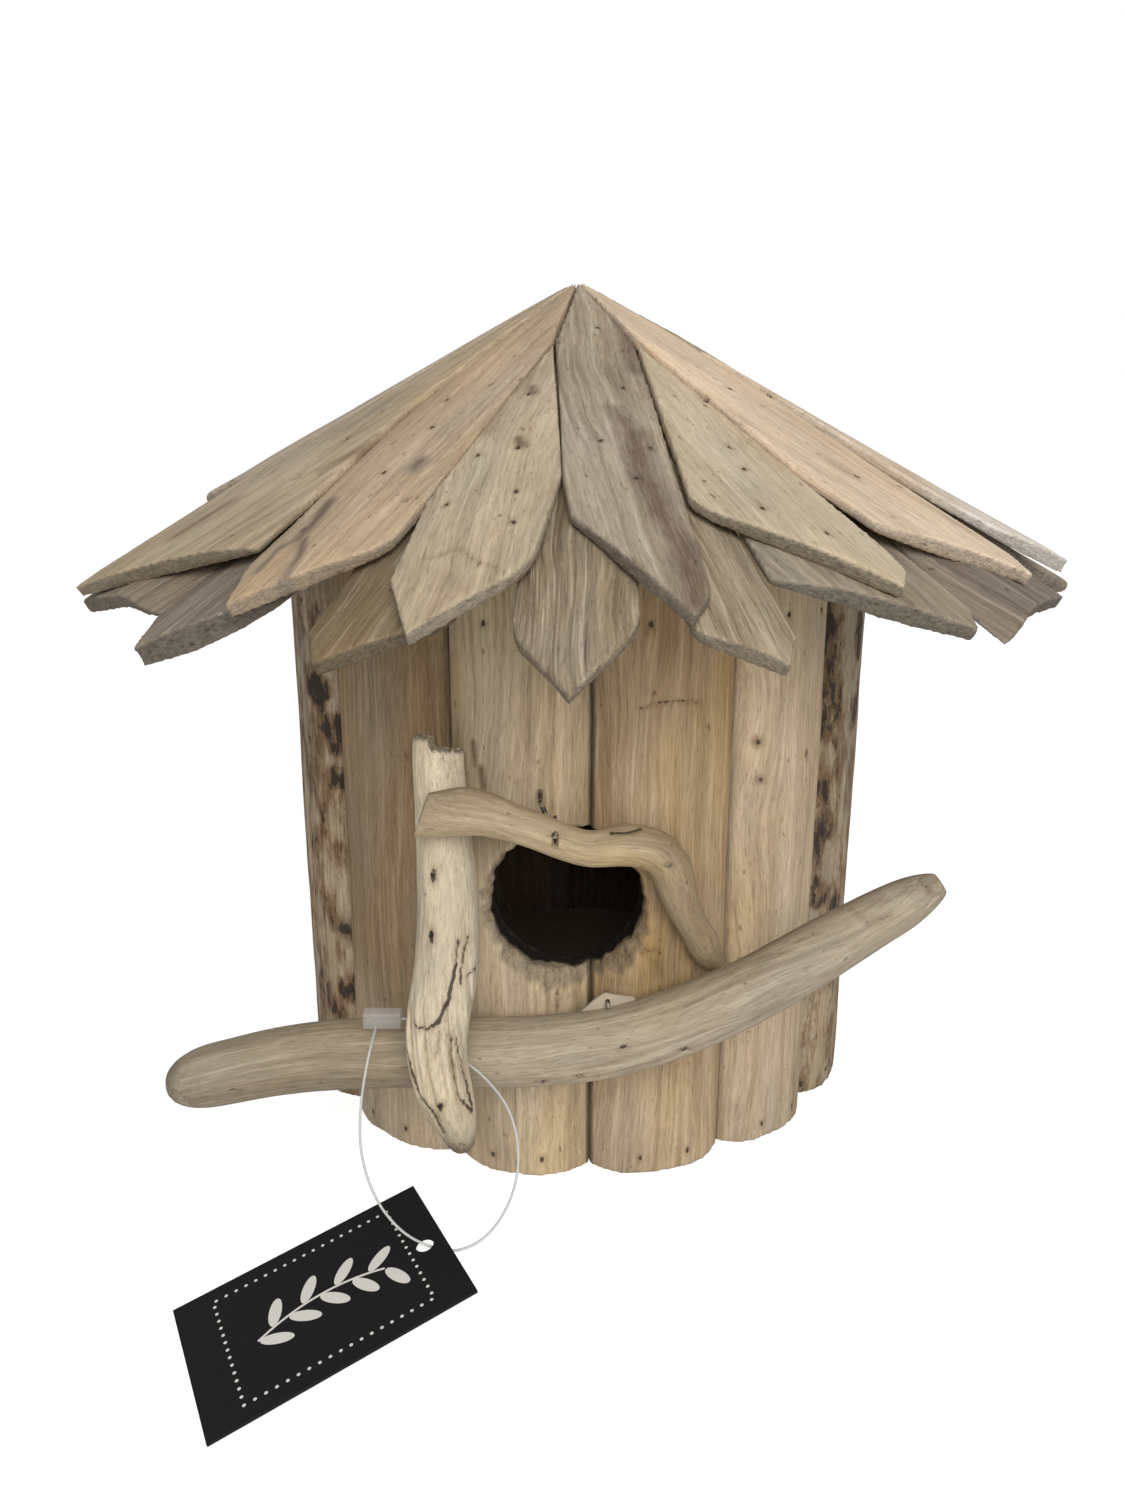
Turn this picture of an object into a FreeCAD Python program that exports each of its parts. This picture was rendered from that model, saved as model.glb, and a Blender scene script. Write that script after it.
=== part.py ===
import FreeCAD, Part
import math
import os
from collections import namedtuple

# Driftwood birdhouse, in millimetres.
# The origin is the middle of the floor's underside, +Z is up and the entrance faces -Y.
# Angles round the body are in degrees from the front, positive towards +X.

V = FreeCAD.Vector

# Driving dimensions of the wall
body_radius = 90.0            # axis to the crown of a stave
stave_thickness = 14.0        # crown to the flat back
stave_bulge = 8.4             # how far the crown stands out past the stave's edges
stave_gap = 0.6               # daylight between neighbouring staves
front_joints = [-53.0, -24.2, 1.9, 28.9, 54.0]   # where the front staves meet
rear_staves = 10              # equal staves that close the ring
entrance_diameter = 40.0
entrance_across = -3.8        # the hole sits a little left of the axis
entrance_height = 81.5

# Driving dimensions of the floor, the ceiling and the hub
floor_thickness = 10.0
ceiling_thickness = 10.0
ceiling_underside = 150.0
disc_clearance = 0.4          # rim of a disc to the flat backs of the staves
hub_radius = 20.0

# Driving dimensions of the roof
seat_apex = 236.1             # height where the undersides of the under boards meet
roof_slope = 0.56             # drop over run of the under boards
board_thickness = 3.4
roof_reach = 150.0            # axis to a usual board tip, in plan
board_kerf = 0.4              # gap between neighbouring boards of one layer
seat_clearance = 0.2          # under boards to the wall and the hub
layer_clearance = 0.15        # over boards to the ridges of the under boards
under_start = 6.0             # inner ends of the under boards, from the axis
over_start = 36.0             # where a short over board begins, between its long neighbours
front_under = [-64.0, -39.0, -20.0, -2.0, 14.5, 36.0, 60.0]   # axes of the front under boards
rear_boards = 9               # equal boards that close each layer
short_over = [2, 4, 6, 8, 10, 12, 14]   # over boards that stop short of the peak

# One board: its edges left and right of its axis, its tip's place past the usual reach
# and across the axis, how far its two shoulders lie back from the tip and how round they are
Board = namedtuple("Board", "left right tip tip_across left_cut right_cut left_round right_round")
front_under_boards = [
    Board(14.0, 50.0, -3.4, 6.0, 16.0, 13.0, 5.0, 3.0),
    Board(11.0, 20.0, 3.6, -3.0, 11.0, 21.0, 5.0, 8.0),
    Board(10.0, 20.0, 1.5, -3.0, 10.0, 15.0, 6.0, 10.0),
    Board(10.0, 16.0, 7.6, 2.0, 17.5, 20.0, 20.0, 20.0),
    Board(13.0, 8.0, 0.6, 2.5, 11.0, 9.0, 6.0, 5.0),
    Board(45.0, 8.0, -4.4, 1.5, 27.0, 7.0, 3.0, 5.0),
    Board(54.0, 10.0, -6.4, 1.0, 3.8, 8.0, 3.0, 5.0),
]
front_over_boards = [
    Board(22.0, 44.0, -2.0, -19.0, 6.0, 29.0, 3.0, 3.0),
    Board(13.0, 20.0, -5.5, -6.5, 14.0, 24.0, 8.0, 12.0),
    Board(16.0, 13.0, -1.0, -7.0, 17.0, 22.0, 4.0, 24.0),
    Board(15.0, 11.5, -7.5, 6.0, 33.0, 8.0, 4.0, 14.0),
    Board(22.0, 17.0, -12.0, 11.0, 30.0, 6.0, 14.0, 4.0),
    Board(26.0, 13.0, -9.5, 7.4, 24.0, 8.0, 8.0, 4.0),
    Board(16.0, 16.0, -6.0, 4.0, 20.0, 12.0, 8.0, 6.0),
]
# Boards that run past the ridge, up to their neighbour's edge on that side
wide_under = {0: "right", 5: "left", 6: "left"}
wide_over = {0: "right"}
rear_half_width = 17.0
rear_cut = 17.0
rear_split = 3.0              # how unevenly a rear board lies about its axis
rear_stagger = 4.0            # how far the rear tips differ from their usual reach
rear_drift = 6.0              # how far the rear tips wander across their axis
rear_skew = 7.0               # how far a rear board's shoulders differ
rear_round = 10.0
last_over_short = 24.0        # how much shorter the last over board is, hidden beside the first
fan_angle = 13.0              # how far each side of a short board turns from its axis
wide_fan = {4: (18.5, 11.0)}  # the broad front board turns more on its left

# Driving dimensions of the branches
perch_radius = 9.0
upright_radius = 7.4
lintel_radius = 5.4
branch_gap = 0.7              # a branch to what it lies against
strand_room = 1.8             # upright to perch, where the tag's loop passes between them

# The branches' stations: places along X and heights, with the share of the branch's
# radius last. Those of the upright and the lintel have a stand-off second.
perch_stations = [
    (-108.5, 33.8, 0.28), (-106.5, 34.4, 0.58), (-101.5, 35.8, 0.84), (-92.0, 38.2, 0.94),
    (-71.0, 42.4, 0.98), (-47.0, 43.8, 1.0), (-20.0, 44.0, 1.0), (5.0, 46.2, 1.0),
    (25.0, 52.4, 0.98), (45.0, 62.4, 0.93), (62.0, 73.2, 0.86), (76.0, 82.4, 0.74),
    (86.0, 88.7, 0.54), (90.2, 91.3, 0.3),
]
upright_by_wall = [
    (-36.0, -2.3, 126.0, 0.86), (-35.5, 1.0, 111.0, 0.91), (-34.1, 6.5, 94.5, 1.0),
    (-33.3, 13.5, 81.2, 1.08), (-33.8, 20.8, 70.0, 1.08),
]
upright_by_perch = [
    (-35.1, -0.6, 60.8, 1.02), (-34.6, 0.0, 47.8, 0.96), (-31.9, 1.0, 36.4, 0.76),
    (-29.8, 1.6, 26.5, 0.4),
]
lintel_by_upright = [
    (-40.5, 0.0, 108.8, 0.72), (-36.5, 0.0, 110.4, 0.98), (-27.0, -0.6, 111.6, 1.1),
    (-12.6, -3.6, 107.9, 1.0), (2.3, -6.2, 101.6, 0.98),
]
lintel_by_wall = [
    (13.0, 0.0, 99.9, 1.0), (20.2, -0.5, 97.2, 1.0), (23.5, -1.2, 91.6, 0.98),
    (25.4, -1.6, 85.0, 0.88), (28.1, -2.6, 78.2, 0.77), (31.6, -4.2, 71.3, 0.64),
    (34.6, -5.3, 65.7, 0.46), (36.0, -5.6, 63.1, 0.28),
]

# Driving dimensions of the nails
nail_radius = 0.5
nail_head_radius = 0.8
nail_head_thickness = 0.9
nail_sink = 0.5               # heads lie this far below the wood
nail_clearance = 0.05
nail_bite = 10.0              # how deep a nail goes into the piece that it holds to
nail_cover = 0.6              # wood left under the point of a roof brad
wall_nail_spread = 7.0        # wall nails each side of the stave's middle
seat_nail_inset = 1.5         # seat nails to the stave's edges, in plan
hub_nail_out = 14.0           # hub nails from the axis

# Brads in the over boards, each as its place out from the axis and across the board
front_over_nails = [
    [(69.0, 3.4), (82.0, 8.0), (97.0, -6.0), (99.0, 13.0)],
    [(63.0, -3.4), (76.0, 1.2), (95.0, 0.3)],
    [(61.0, -1.4), (84.5, 1.3), (87.4, -7.8), (101.4, 4.7), (106.0, -10.4), (112.0, 6.5)],
    [(26.0, 2.2), (38.0, 7.7), (58.0, 4.4), (81.4, -4.6), (83.5, 7.2), (96.3, 1.5)],
    [(63.6, 5.2), (85.0, -1.4), (94.0, -3.0), (108.7, -7.5), (118.3, 3.3)],
]
usual_over_nails = [(58.0, -6.0), (70.0, 6.5), (98.0, -8.0), (102.0, 8.5)]

# Brads in the branches, driven straight back: places along X and heights
perch_nails = [(-9.7, 39.8), (-0.4, 41.8), (10.8, 50.2), (25.9, 49.5)]
upright_nails = [(-36.5, 95.0), (-36.5, 82.0)]
upright_perch_nails = [(-34.2, 43.0)]
lintel_nails = [(-6.5, 105.6), (21.6, 96.2)]

# Driving dimensions of the hang tag and its loop
tag_length = 61.8
tag_width = 41.5
tag_thickness = 0.8
tag_hole_radius = 2.2
tag_hole_inset = 4.9          # hole's middle to the raised short edge
tag_heading = 27.4            # the card's long axis, from +X
tag_tilt = 12.7               # the hole's end is lifted by the loop
loop_diameter = 0.65
loop_bend = 0.45              # share of a straight run that a bend at its end takes
lock_length = 9.5
lock_depth = 4.0
lock_height = 4.6
lock_round = 0.8
lock_lip = 1.4                # loop's front end below the lock's middle
lock_gap = 0.03               # loop's ends to the lock

# The loop's route, from the lock's front down to the card, through its hole and
# up again, then behind the upright branch to the lock's right end.
# Each point is its place along X, ahead of the perch's front, and its height.
loop_points = [
    (-52.0, -2.2, 54.8), (-52.0, 2.8, 54.5), (-53.0, 7.3, 49.7), (-54.3, 11.3, 41.0),
    (-54.0, 16.3, 31.3), (-50.2, 21.3, 22.3), (-44.0, 25.1, 16.2), (-37.5, 26.6, 12.9),
    (-30.0, 25.9, 10.2), (-22.3, 22.8, 12.5), (-16.6, 18.8, 20.5), (-15.0, 14.3, 30.0),
    (-17.6, 8.8, 38.5), (-24.0, 3.3, 44.0), (-30.5, 0.8, 47.8), (-36.6, -0.7, 52.4),
    (-40.8, -4.0, 56.1), (-45.7, -4.2, 56.2),
]
hole_point = 7                # the route's point in the middle of the card's hole


def outward(angle):
    a = math.radians(angle)
    return V(math.sin(a), -math.cos(a), 0)


def across(angle):
    a = math.radians(angle)
    return V(math.cos(a), math.sin(a), 0)


def plan_point(angle, out, side, height=0.0):
    return outward(angle) * out + across(angle) * side + V(0, 0, height)


def one_solid(shape):
    solids = shape.Solids
    if len(solids) != 1:
        raise RuntimeError("expected one solid, got %d" % len(solids))
    return solids[0]


def prism(points, direction):
    return Part.Face(Part.makePolygon(points + points[:1])).extrude(direction)


def save(name, shape):
    shape.exportStep(os.path.join("parts", name + ".step"))


# Nails

def nail(head, direction, length):
    """A brad whose head's top is at `head`, driven along `direction`."""
    shank = Part.makeCylinder(nail_radius, length, head, direction)
    cap = Part.makeCylinder(nail_head_radius, nail_head_thickness, head, direction)
    return one_solid(shank.fuse(cap).removeSplitter())


def nail_hole(place, mouth):
    """The hole that a brad leaves, open for `mouth` above its sunk head."""
    head, direction, length = place
    shank = Part.makeCylinder(nail_radius + nail_clearance, length + nail_clearance, head, direction)
    wide = Part.makeCylinder(nail_head_radius + nail_clearance,
                             mouth + nail_head_thickness + nail_clearance,
                             head - direction * mouth, direction)
    return shank.fuse(wide)


def drill(piece, holes):
    near = [hole for hole in holes if hole.BoundBox.intersect(piece.BoundBox)]
    return one_solid(piece.cut(near)) if near else piece


# Wall

def stave_joints():
    step = (360.0 - front_joints[-1] + front_joints[0]) / rear_staves
    return front_joints + [front_joints[-1] + step * k for k in range(1, rear_staves)]


def stave_sectors():
    joints = stave_joints()
    return list(zip(joints, joints[1:] + [joints[0] + 360.0]))


def seat_cone():
    """Everything below the seat of the under boards."""
    apex = seat_apex - seat_clearance
    return Part.makeCone(apex / roof_slope, 0, apex)


def stave(start, end):
    middle = (start + end) / 2.0
    half = math.radians(end - start) / 2.0
    back = body_radius - stave_thickness
    edge = body_radius - stave_bulge
    trim = stave_gap / 2.0 / math.cos(half)
    back_half = back * math.tan(half) - trim
    edge_half = edge * math.tan(half) - trim
    corners = [plan_point(middle, edge, -edge_half), plan_point(middle, back, -back_half),
               plan_point(middle, back, back_half), plan_point(middle, edge, edge_half)]
    crown = Part.Arc(corners[3], plan_point(middle, body_radius, 0), corners[0]).toShape()
    outline = Part.Wire([Part.makeLine(a, b) for a, b in zip(corners, corners[1:])] + [crown])
    blank = Part.Face(outline).extrude(V(0, 0, seat_apex))
    return one_solid(blank.common(seat_cone()))


def entrance():
    radius = entrance_diameter / 2.0
    return Part.makeCylinder(radius, body_radius, V(entrance_across, -body_radius - stave_bulge,
                                                    entrance_height), V(0, 1, 0))


def wall_nail_places():
    """Two brads at the foot of each stave and two at its top, into the discs."""
    places = []
    for start, end in stave_sectors():
        middle = (start + end) / 2.0
        half = math.radians(end - start) / 2.0
        chord_half = (body_radius - stave_bulge) * math.tan(half)
        crown_radius = (chord_half ** 2 + stave_bulge ** 2) / (2.0 * stave_bulge)
        drop = crown_radius - math.sqrt(crown_radius ** 2 - wall_nail_spread ** 2)
        for height in (floor_thickness / 2.0, ceiling_underside + ceiling_thickness / 2.0):
            for side in (-wall_nail_spread, wall_nail_spread):
                head = plan_point(middle, body_radius - drop - nail_sink, side, height)
                places.append((head, outward(middle) * -1.0, stave_thickness + nail_bite))
    return places


def disc(underside, thickness):
    radius = body_radius - stave_thickness - disc_clearance
    return Part.makeCylinder(radius, thickness, V(0, 0, underside))


def roof_hub():
    foot = ceiling_underside + ceiling_thickness
    post = Part.makeCylinder(hub_radius, seat_apex - foot, V(0, 0, foot))
    return one_solid(post.common(seat_cone()))


# Roof

def under_angles():
    step = (360.0 - front_under[-1] + front_under[0]) / (rear_boards + 1)
    return front_under + [front_under[-1] + step * k for k in range(1, rear_boards + 1)]


def rear_board(index):
    """Boards of the unseen side: the same kind of board, unevenly split and cut."""
    swing = math.sin(2.4 * index + 0.7)
    sway = math.cos(1.9 * index)
    return Board(rear_half_width + rear_split * swing, rear_half_width - rear_split * swing,
                 rear_stagger * (sway - 1.0), -rear_drift * swing,
                 rear_cut + rear_skew * swing, rear_cut - rear_skew * swing,
                 rear_round, rear_round)


def board_rise(slope):
    """Height of a board's top over its underside, measured plumb."""
    return board_thickness * math.sqrt(1.0 + slope ** 2)


def board_normal(angle, slope):
    return (outward(angle) * slope + V(0, 0, 1)).normalize()


def board_blank(angle, slope, apex, board):
    """A flat board whose underside passes through (0, 0, apex), spear end out at the eave."""
    reach = roof_reach + board.tip
    top = apex + board_rise(slope)
    outline = [(0.0, -board.left), (reach - board.left_cut, -board.left),
               (reach, board.tip_across),
               (reach - board.right_cut, board.right), (0.0, board.right)]
    points = [plan_point(angle, out, side, top - slope * out) for out, side in outline]
    return prism(points, board_normal(angle, slope) * -board_thickness)


def trimmed(blank, boundary):
    """Keep what lies inside a plan outline, drawn in by half a saw cut."""
    wire = Part.makePolygon(boundary + boundary[:1])
    inner = wire.makeOffset2D(-board_kerf / 2.0, 2)
    return one_solid(blank.common(Part.Face(inner).extrude(V(0, 0, 2.0 * seat_apex))))


def filleted(solid, edge, rounding):
    """One edge rounded, less so where its faces are too narrow."""
    for share in (1.0, 0.5, 0.25):
        try:
            return one_solid(solid.makeFillet(share * rounding, [edge]))
        except Part.OCCError:
            continue
    return solid


def eased(solid, angle, board):
    """Round the two shoulders of a trimmed board."""
    tip = plan_point(angle, roof_reach + board.tip, board.tip_across)
    for turn, rounding in ((-1.0, board.left_round), (1.0, board.right_round)):
        corners = []
        for edge in solid.Edges:
            middle = edge.CenterOfMass
            rise = edge.BoundBox.ZLength
            place = V(middle.x, middle.y, 0)
            out, side = place.dot(outward(angle)), place.dot(across(angle))
            upright = 0.7 * edge.Length < rise and edge.Length > 0.9 * board_thickness
            past_tip = turn * (side - board.tip_across) > 0.0
            if upright and past_tip and (place - tip).Length > board_thickness and out > body_radius:
                corners.append((out, edge))
        if corners:
            shoulder = max(corners, key=lambda corner: corner[0])[1]
            solid = filleted(solid, shoulder, rounding)
    return solid


def far_radius():
    return 2.0 * roof_reach


def past_ridge(ridge, neighbour, edge):
    """From the place where a ridge crosses the neighbour's edge, out along that edge."""
    meet = abs(edge / math.sin(math.radians(ridge - neighbour)))
    return [outward(ridge) * meet, plan_point(neighbour, far_radius(), edge)]


def planed(solid, ridge, slope, apex):
    """Take off what stands above the plane that falls from (0, 0, apex) along a ridge."""
    far = far_radius()
    corners = [plan_point(ridge, out, side, apex - slope * out)
               for out, side in ((-far, -far), (far, -far), (far, far), (-far, far))]
    return one_solid(solid.cut(prism(corners, V(0, 0, 2.0 * seat_apex))))


def under_boards():
    angles = under_angles()
    shapes = front_under_boards + [rear_board(k) for k in range(rear_boards)]
    boards = []
    for k, angle in enumerate(angles):
        before = angles[k - 1] - (360.0 if k == 0 else 0.0)
        after = angles[(k + 1) % len(angles)] + (360.0 if k == len(angles) - 1 else 0.0)
        sides = [(before + angle) / 2.0, (angle + after) / 2.0]
        left, right = [outward(sides[0]) * far_radius()], [outward(sides[1]) * far_radius()]
        if wide_under.get(k) == "left":
            left = past_ridge(sides[0], before, shapes[k - 1].right)
        if wide_under.get(k) == "right":
            right = past_ridge(sides[1], after, -shapes[k + 1].left)
        boundary = [outward(sides[0]) * under_start] + left + right[::-1] + [outward(sides[1]) * under_start]
        board = trimmed(board_blank(angle, roof_slope, seat_apex, shapes[k]), boundary)
        if k in wide_under:
            ridge = sides[0] if wide_under[k] == "left" else sides[1]
            fall = roof_slope * math.cos(math.radians(ridge - angle))
            board = planed(board, ridge, fall, seat_apex + board_rise(roof_slope))
        boards.append(eased(board, angle, shapes[k]))
    return boards


def over_layout():
    """Axis and slope of each over board, laid on the ridge between two under boards."""
    angles = under_angles()
    layout = []
    for k, angle in enumerate(angles):
        after = angles[(k + 1) % len(angles)] + (360.0 if k == len(angles) - 1 else 0.0)
        half = math.radians(after - angle) / 2.0
        layout.append(((angle + after) / 2.0, roof_slope * math.cos(half)))
    return layout


def over_apex():
    return seat_apex + board_rise(roof_slope) + layer_clearance


def fan(index):
    return wide_fan.get(index, (fan_angle, fan_angle))


def over_boundary(index, layout, shapes):
    """Plan outline that an over board is trimmed to by its neighbours."""
    count = len(layout)
    angle = layout[index][0]
    if index in short_over:
        start = outward(angle) * over_start
        left, right = fan(index)
        return [start, start + outward(angle - left) * far_radius(),
                start + outward(angle + right) * far_radius()]
    points = [V(0, 0, 0)]
    for step in (-1, 1):
        other = (index + step) % count
        turn = 360.0 * ((index + step) // count)
        other_angle = layout[other][0] + turn
        if other in short_over:
            corner = outward(other_angle) * over_start
            spread = fan(other)[1] if step < 0 else -fan(other)[0]
            side = [corner, corner + outward(other_angle + spread) * far_radius()]
        elif wide_over.get(index) == "right" and step > 0:
            side = past_ridge((angle + other_angle) / 2.0, other_angle, -shapes[other].left)
        else:
            side = [outward((angle + other_angle) / 2.0) * far_radius()]
        points += side if step < 0 else side[::-1]
    return points


def over_boards():
    layout = over_layout()
    shapes = front_over_boards + [rear_board(k + rear_boards) for k in range(rear_boards)]
    shapes[-1] = shapes[-1]._replace(tip=shapes[-1].tip - last_over_short)
    boards = []
    for k, (angle, slope) in enumerate(layout):
        board = trimmed(board_blank(angle, slope, over_apex(), shapes[k]), over_boundary(k, layout, shapes))
        if k in wide_over:
            next_angle, next_slope = layout[k + 1]
            fall = (slope + next_slope) / 2.0 * math.cos(math.radians(next_angle - angle) / 2.0)
            board = planed(board, (angle + next_angle) / 2.0, fall, over_apex() + board_rise(slope))
        boards.append(eased(board, angle, shapes[k]))
    return boards


def roof_nail(angle, slope, apex, out, side, length):
    """A brad square to a board whose underside passes through (0, 0, apex)."""
    normal = board_normal(angle, slope)
    under = plan_point(angle, out, side, apex - slope * out)
    return under + normal * (board_thickness - nail_sink), normal * -1.0, length


def under_nail_places():
    """Nails through the under boards, one into the hub and one into the wall's top."""
    places = []
    wall_out = body_radius - stave_bulge - seat_nail_inset
    for angle in under_angles():
        places += [roof_nail(angle, roof_slope, seat_apex, out, 0.0, board_thickness + nail_bite / 2.0)
                   for out in (hub_nail_out, wall_out)]
    return places


def over_nail_places():
    """Brads through both layers, each side of the ridge that an over board lies on."""
    length = 2.0 * board_thickness - nail_sink - nail_cover
    layout = over_layout()
    rows = front_over_nails + [usual_over_nails] * (len(layout) - len(front_over_nails))
    return [roof_nail(angle, slope, over_apex(), out, side, length)
            for (angle, slope), row in zip(layout, rows) for out, side in row]


# Branches

def branch(stations, reference):
    """A limb through round sections: each station is a centre and a radius."""
    centres = [centre for centre, radius in stations]
    wires = []
    for k, (centre, radius) in enumerate(stations):
        along = (centres[min(k + 1, len(centres) - 1)] - centres[max(k - 1, 0)]).normalize()
        side = along.cross(reference).normalize()
        turn = FreeCAD.Rotation(side, along.cross(side), along, "ZXY")
        ring = Part.Wire(Part.makeCircle(radius))
        ring.Placement = FreeCAD.Placement(centre, turn)
        wires.append(ring)
    return one_solid(Part.makeLoft(wires, True, False))


def wall_front():
    """How far the foremost stave crown stands in front of the axis."""
    return max(body_radius * -outward((start + end) / 2.0).y for start, end in stave_sectors())


def in_front(x, stand_off, z):
    return V(x, -(wall_front() + stand_off), z)


def perch_stand_off():
    return perch_radius + branch_gap


def perch_front():
    return perch_stand_off() + perch_radius


def perch_branch():
    stations = [(in_front(x, perch_stand_off(), z), perch_radius * share)
                for x, z, share in perch_stations]
    return branch(stations, V(0, 0, 1))


def upright_branch():
    """Starts in the groove between two staves and comes forward to pass before the perch."""
    ahead = perch_front() + strand_room
    stations = [(in_front(x, stand_off, z), upright_radius * share)
                for x, stand_off, z, share in upright_by_wall]
    stations += [(in_front(x, ahead + more + upright_radius * share, z), upright_radius * share)
                 for x, more, z, share in upright_by_perch]
    return branch(stations, V(1, 0, 0))


def lintel_branch():
    """Starts before the upright, crosses over the hole and hooks down against the wall."""
    crossing = upright_by_wall[1]
    ahead = crossing[1] + crossing[3] * upright_radius + lintel_radius + 2.0 * branch_gap
    stations = [(in_front(x, ahead + more, z), lintel_radius * share)
                for x, more, z, share in lintel_by_upright]
    stations += [(in_front(x, branch_gap + lintel_radius * share + more, z), lintel_radius * share)
                 for x, more, z, share in lintel_by_wall]
    return branch(stations, V(0, 1, 0))


def front_of(shape, x, z):
    """Where a line from the front first meets a shape."""
    line = Part.makeLine(V(x, -2.0 * body_radius, z), V(x, 0, z))
    return shape.common(line).BoundBox.YMin


def branch_nail_places(perch, upright, lintel, wall):
    """Brads from the front: perch and lintel into the wall, upright into the wall and the perch."""
    joins = [(perch_nails, perch, wall), (upright_nails, upright, wall),
             (upright_perch_nails, upright, perch), (lintel_nails, lintel, wall)]
    places = []
    for spots, through, into in joins:
        for x, z in spots:
            head = front_of(through, x, z) + nail_sink
            places.append((V(x, head, z), V(0, 1, 0), front_of(into, x, z) + nail_bite - head))
    return places


# Hang tag

def loop_route():
    return [in_front(x, perch_front() + ahead, z) for x, ahead, z in loop_points]


def hang_tag():
    """The card hangs by its hole, and its far short edge lies on the floor."""
    hole_along = tag_length - tag_hole_inset
    card = Part.makeBox(tag_length, tag_width, tag_thickness,
                        V(-hole_along, -tag_width / 2.0, -tag_thickness / 2.0))
    hole = Part.makeCylinder(tag_hole_radius, 4.0 * tag_thickness, V(0, 0, -2.0 * tag_thickness))
    card = one_solid(card.cut(hole))
    lie = FreeCAD.Rotation(V(0, 0, 1), tag_heading).multiply(FreeCAD.Rotation(V(0, 1, 0), -tag_tilt))
    card.Placement = FreeCAD.Placement(loop_route()[hole_point], lie)
    return card


def tag_lock():
    """A small rounded block that both ends of the loop go into."""
    front_end = loop_route()[0]
    right_end = loop_route()[-1]
    corner = V(right_end.x - lock_gap - lock_length, front_end.y + lock_gap,
               front_end.z + lock_lip - lock_height / 2.0)
    block = Part.makeBox(lock_length, lock_depth, lock_height, corner)
    long_edges = [e for e in block.Edges if abs(e.tangentAt(0).x) > 0.9]
    return one_solid(block.makeFillet(lock_round, long_edges))


def rounded_route(points):
    """Straight runs joined by the largest tangent arcs that they have room for."""
    edges = []
    radii = []
    last = points[0]
    for before, corner, after in zip(points, points[1:], points[2:]):
        back = (before - corner).normalize()
        ahead = (after - corner).normalize()
        turn = math.pi - back.getAngle(ahead)
        reach = loop_bend * min((corner - before).Length, (after - corner).Length)
        radius = reach / math.tan(turn / 2.0)
        radii.append(radius)
        start = corner + back * reach
        end = corner + ahead * reach
        inside = (back + ahead).normalize()
        middle = corner + inside * (math.hypot(radius, reach) - radius)
        edges += [Part.LineSegment(last, start).toShape(), Part.Arc(start, middle, end).toShape()]
        last = end
    edges.append(Part.LineSegment(last, points[-1]).toShape())
    print("loop bend radii:", ", ".join("%.1f" % r for r in radii))
    return Part.Wire(edges)


def tag_loop():
    points = loop_route()
    route = rounded_route(points)
    section = Part.Wire(Part.makeCircle(loop_diameter / 2.0, points[0], points[1] - points[0]))
    tube = one_solid(route.makePipeShell([section], True, False))
    expected = math.pi * (loop_diameter / 2.0) ** 2 * route.Length
    print("loop length %.1f, volume %.2f of %.2f" % (route.Length, tube.Volume, expected))
    return tube


# Build everything

def build():
    os.makedirs("parts", exist_ok=True)
    doorway = entrance()
    staves = [one_solid(stave(start, end).cut(doorway)) for start, end in stave_sectors()]
    perch, upright, lintel = perch_branch(), upright_branch(), lintel_branch()

    wall_places = wall_nail_places()
    under_places = under_nail_places()
    over_places = over_nail_places()
    branch_places = branch_nail_places(perch, upright, lintel, Part.makeCompound(staves))
    open_mouth = nail_sink + nail_head_radius
    wall_holes = [nail_hole(place, open_mouth) for place in wall_places]
    under_holes = [nail_hole(place, nail_sink) for place in under_places]
    over_holes = [nail_hole(place, nail_sink) for place in over_places]
    branch_holes = [nail_hole(place, open_mouth) for place in branch_places]

    for number, piece in enumerate(staves, 1):
        save("wall_stave_%02d" % number, drill(piece, wall_holes + under_holes + branch_holes))
    save("floor_disc", drill(disc(0.0, floor_thickness), wall_holes))
    save("ceiling_disc", drill(disc(ceiling_underside, ceiling_thickness), wall_holes))
    save("roof_hub", drill(roof_hub(), under_holes))

    for number, piece in enumerate(under_boards(), 1):
        save("under_board_%02d" % number, drill(piece, under_holes + over_holes))
    for number, piece in enumerate(over_boards(), 1):
        save("over_board_%02d" % number, drill(piece, over_holes))

    save("perch_branch", drill(perch, branch_holes))
    save("upright_branch", drill(upright, branch_holes))
    save("lintel_branch", drill(lintel, branch_holes))

    save("wall_nails", Part.makeCompound([nail(*place) for place in wall_places]))
    save("roof_nails", Part.makeCompound([nail(*place) for place in under_places + over_places]))
    save("branch_nails", Part.makeCompound([nail(*place) for place in branch_places]))

    save("hang_tag", hang_tag())
    save("tag_lock", tag_lock())
    save("tag_loop", tag_loop())


build()
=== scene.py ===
import math

import bmesh
import bpy
import numpy as np
from mathutils import Matrix, Vector


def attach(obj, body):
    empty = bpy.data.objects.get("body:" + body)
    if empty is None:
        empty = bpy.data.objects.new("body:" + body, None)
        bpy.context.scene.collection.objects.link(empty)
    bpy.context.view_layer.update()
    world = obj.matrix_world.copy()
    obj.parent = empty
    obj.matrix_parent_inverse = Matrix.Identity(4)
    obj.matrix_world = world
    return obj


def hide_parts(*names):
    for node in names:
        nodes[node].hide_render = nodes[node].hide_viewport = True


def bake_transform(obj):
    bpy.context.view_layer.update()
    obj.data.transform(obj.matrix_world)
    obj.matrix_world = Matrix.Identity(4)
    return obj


# Driftwood birdhouse. The frame comes from the CAD record, and the wood is worn copies of its solids.
# Places in the tables below are in millimetres in the shared frame: X right, Y back, Z up.

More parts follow.
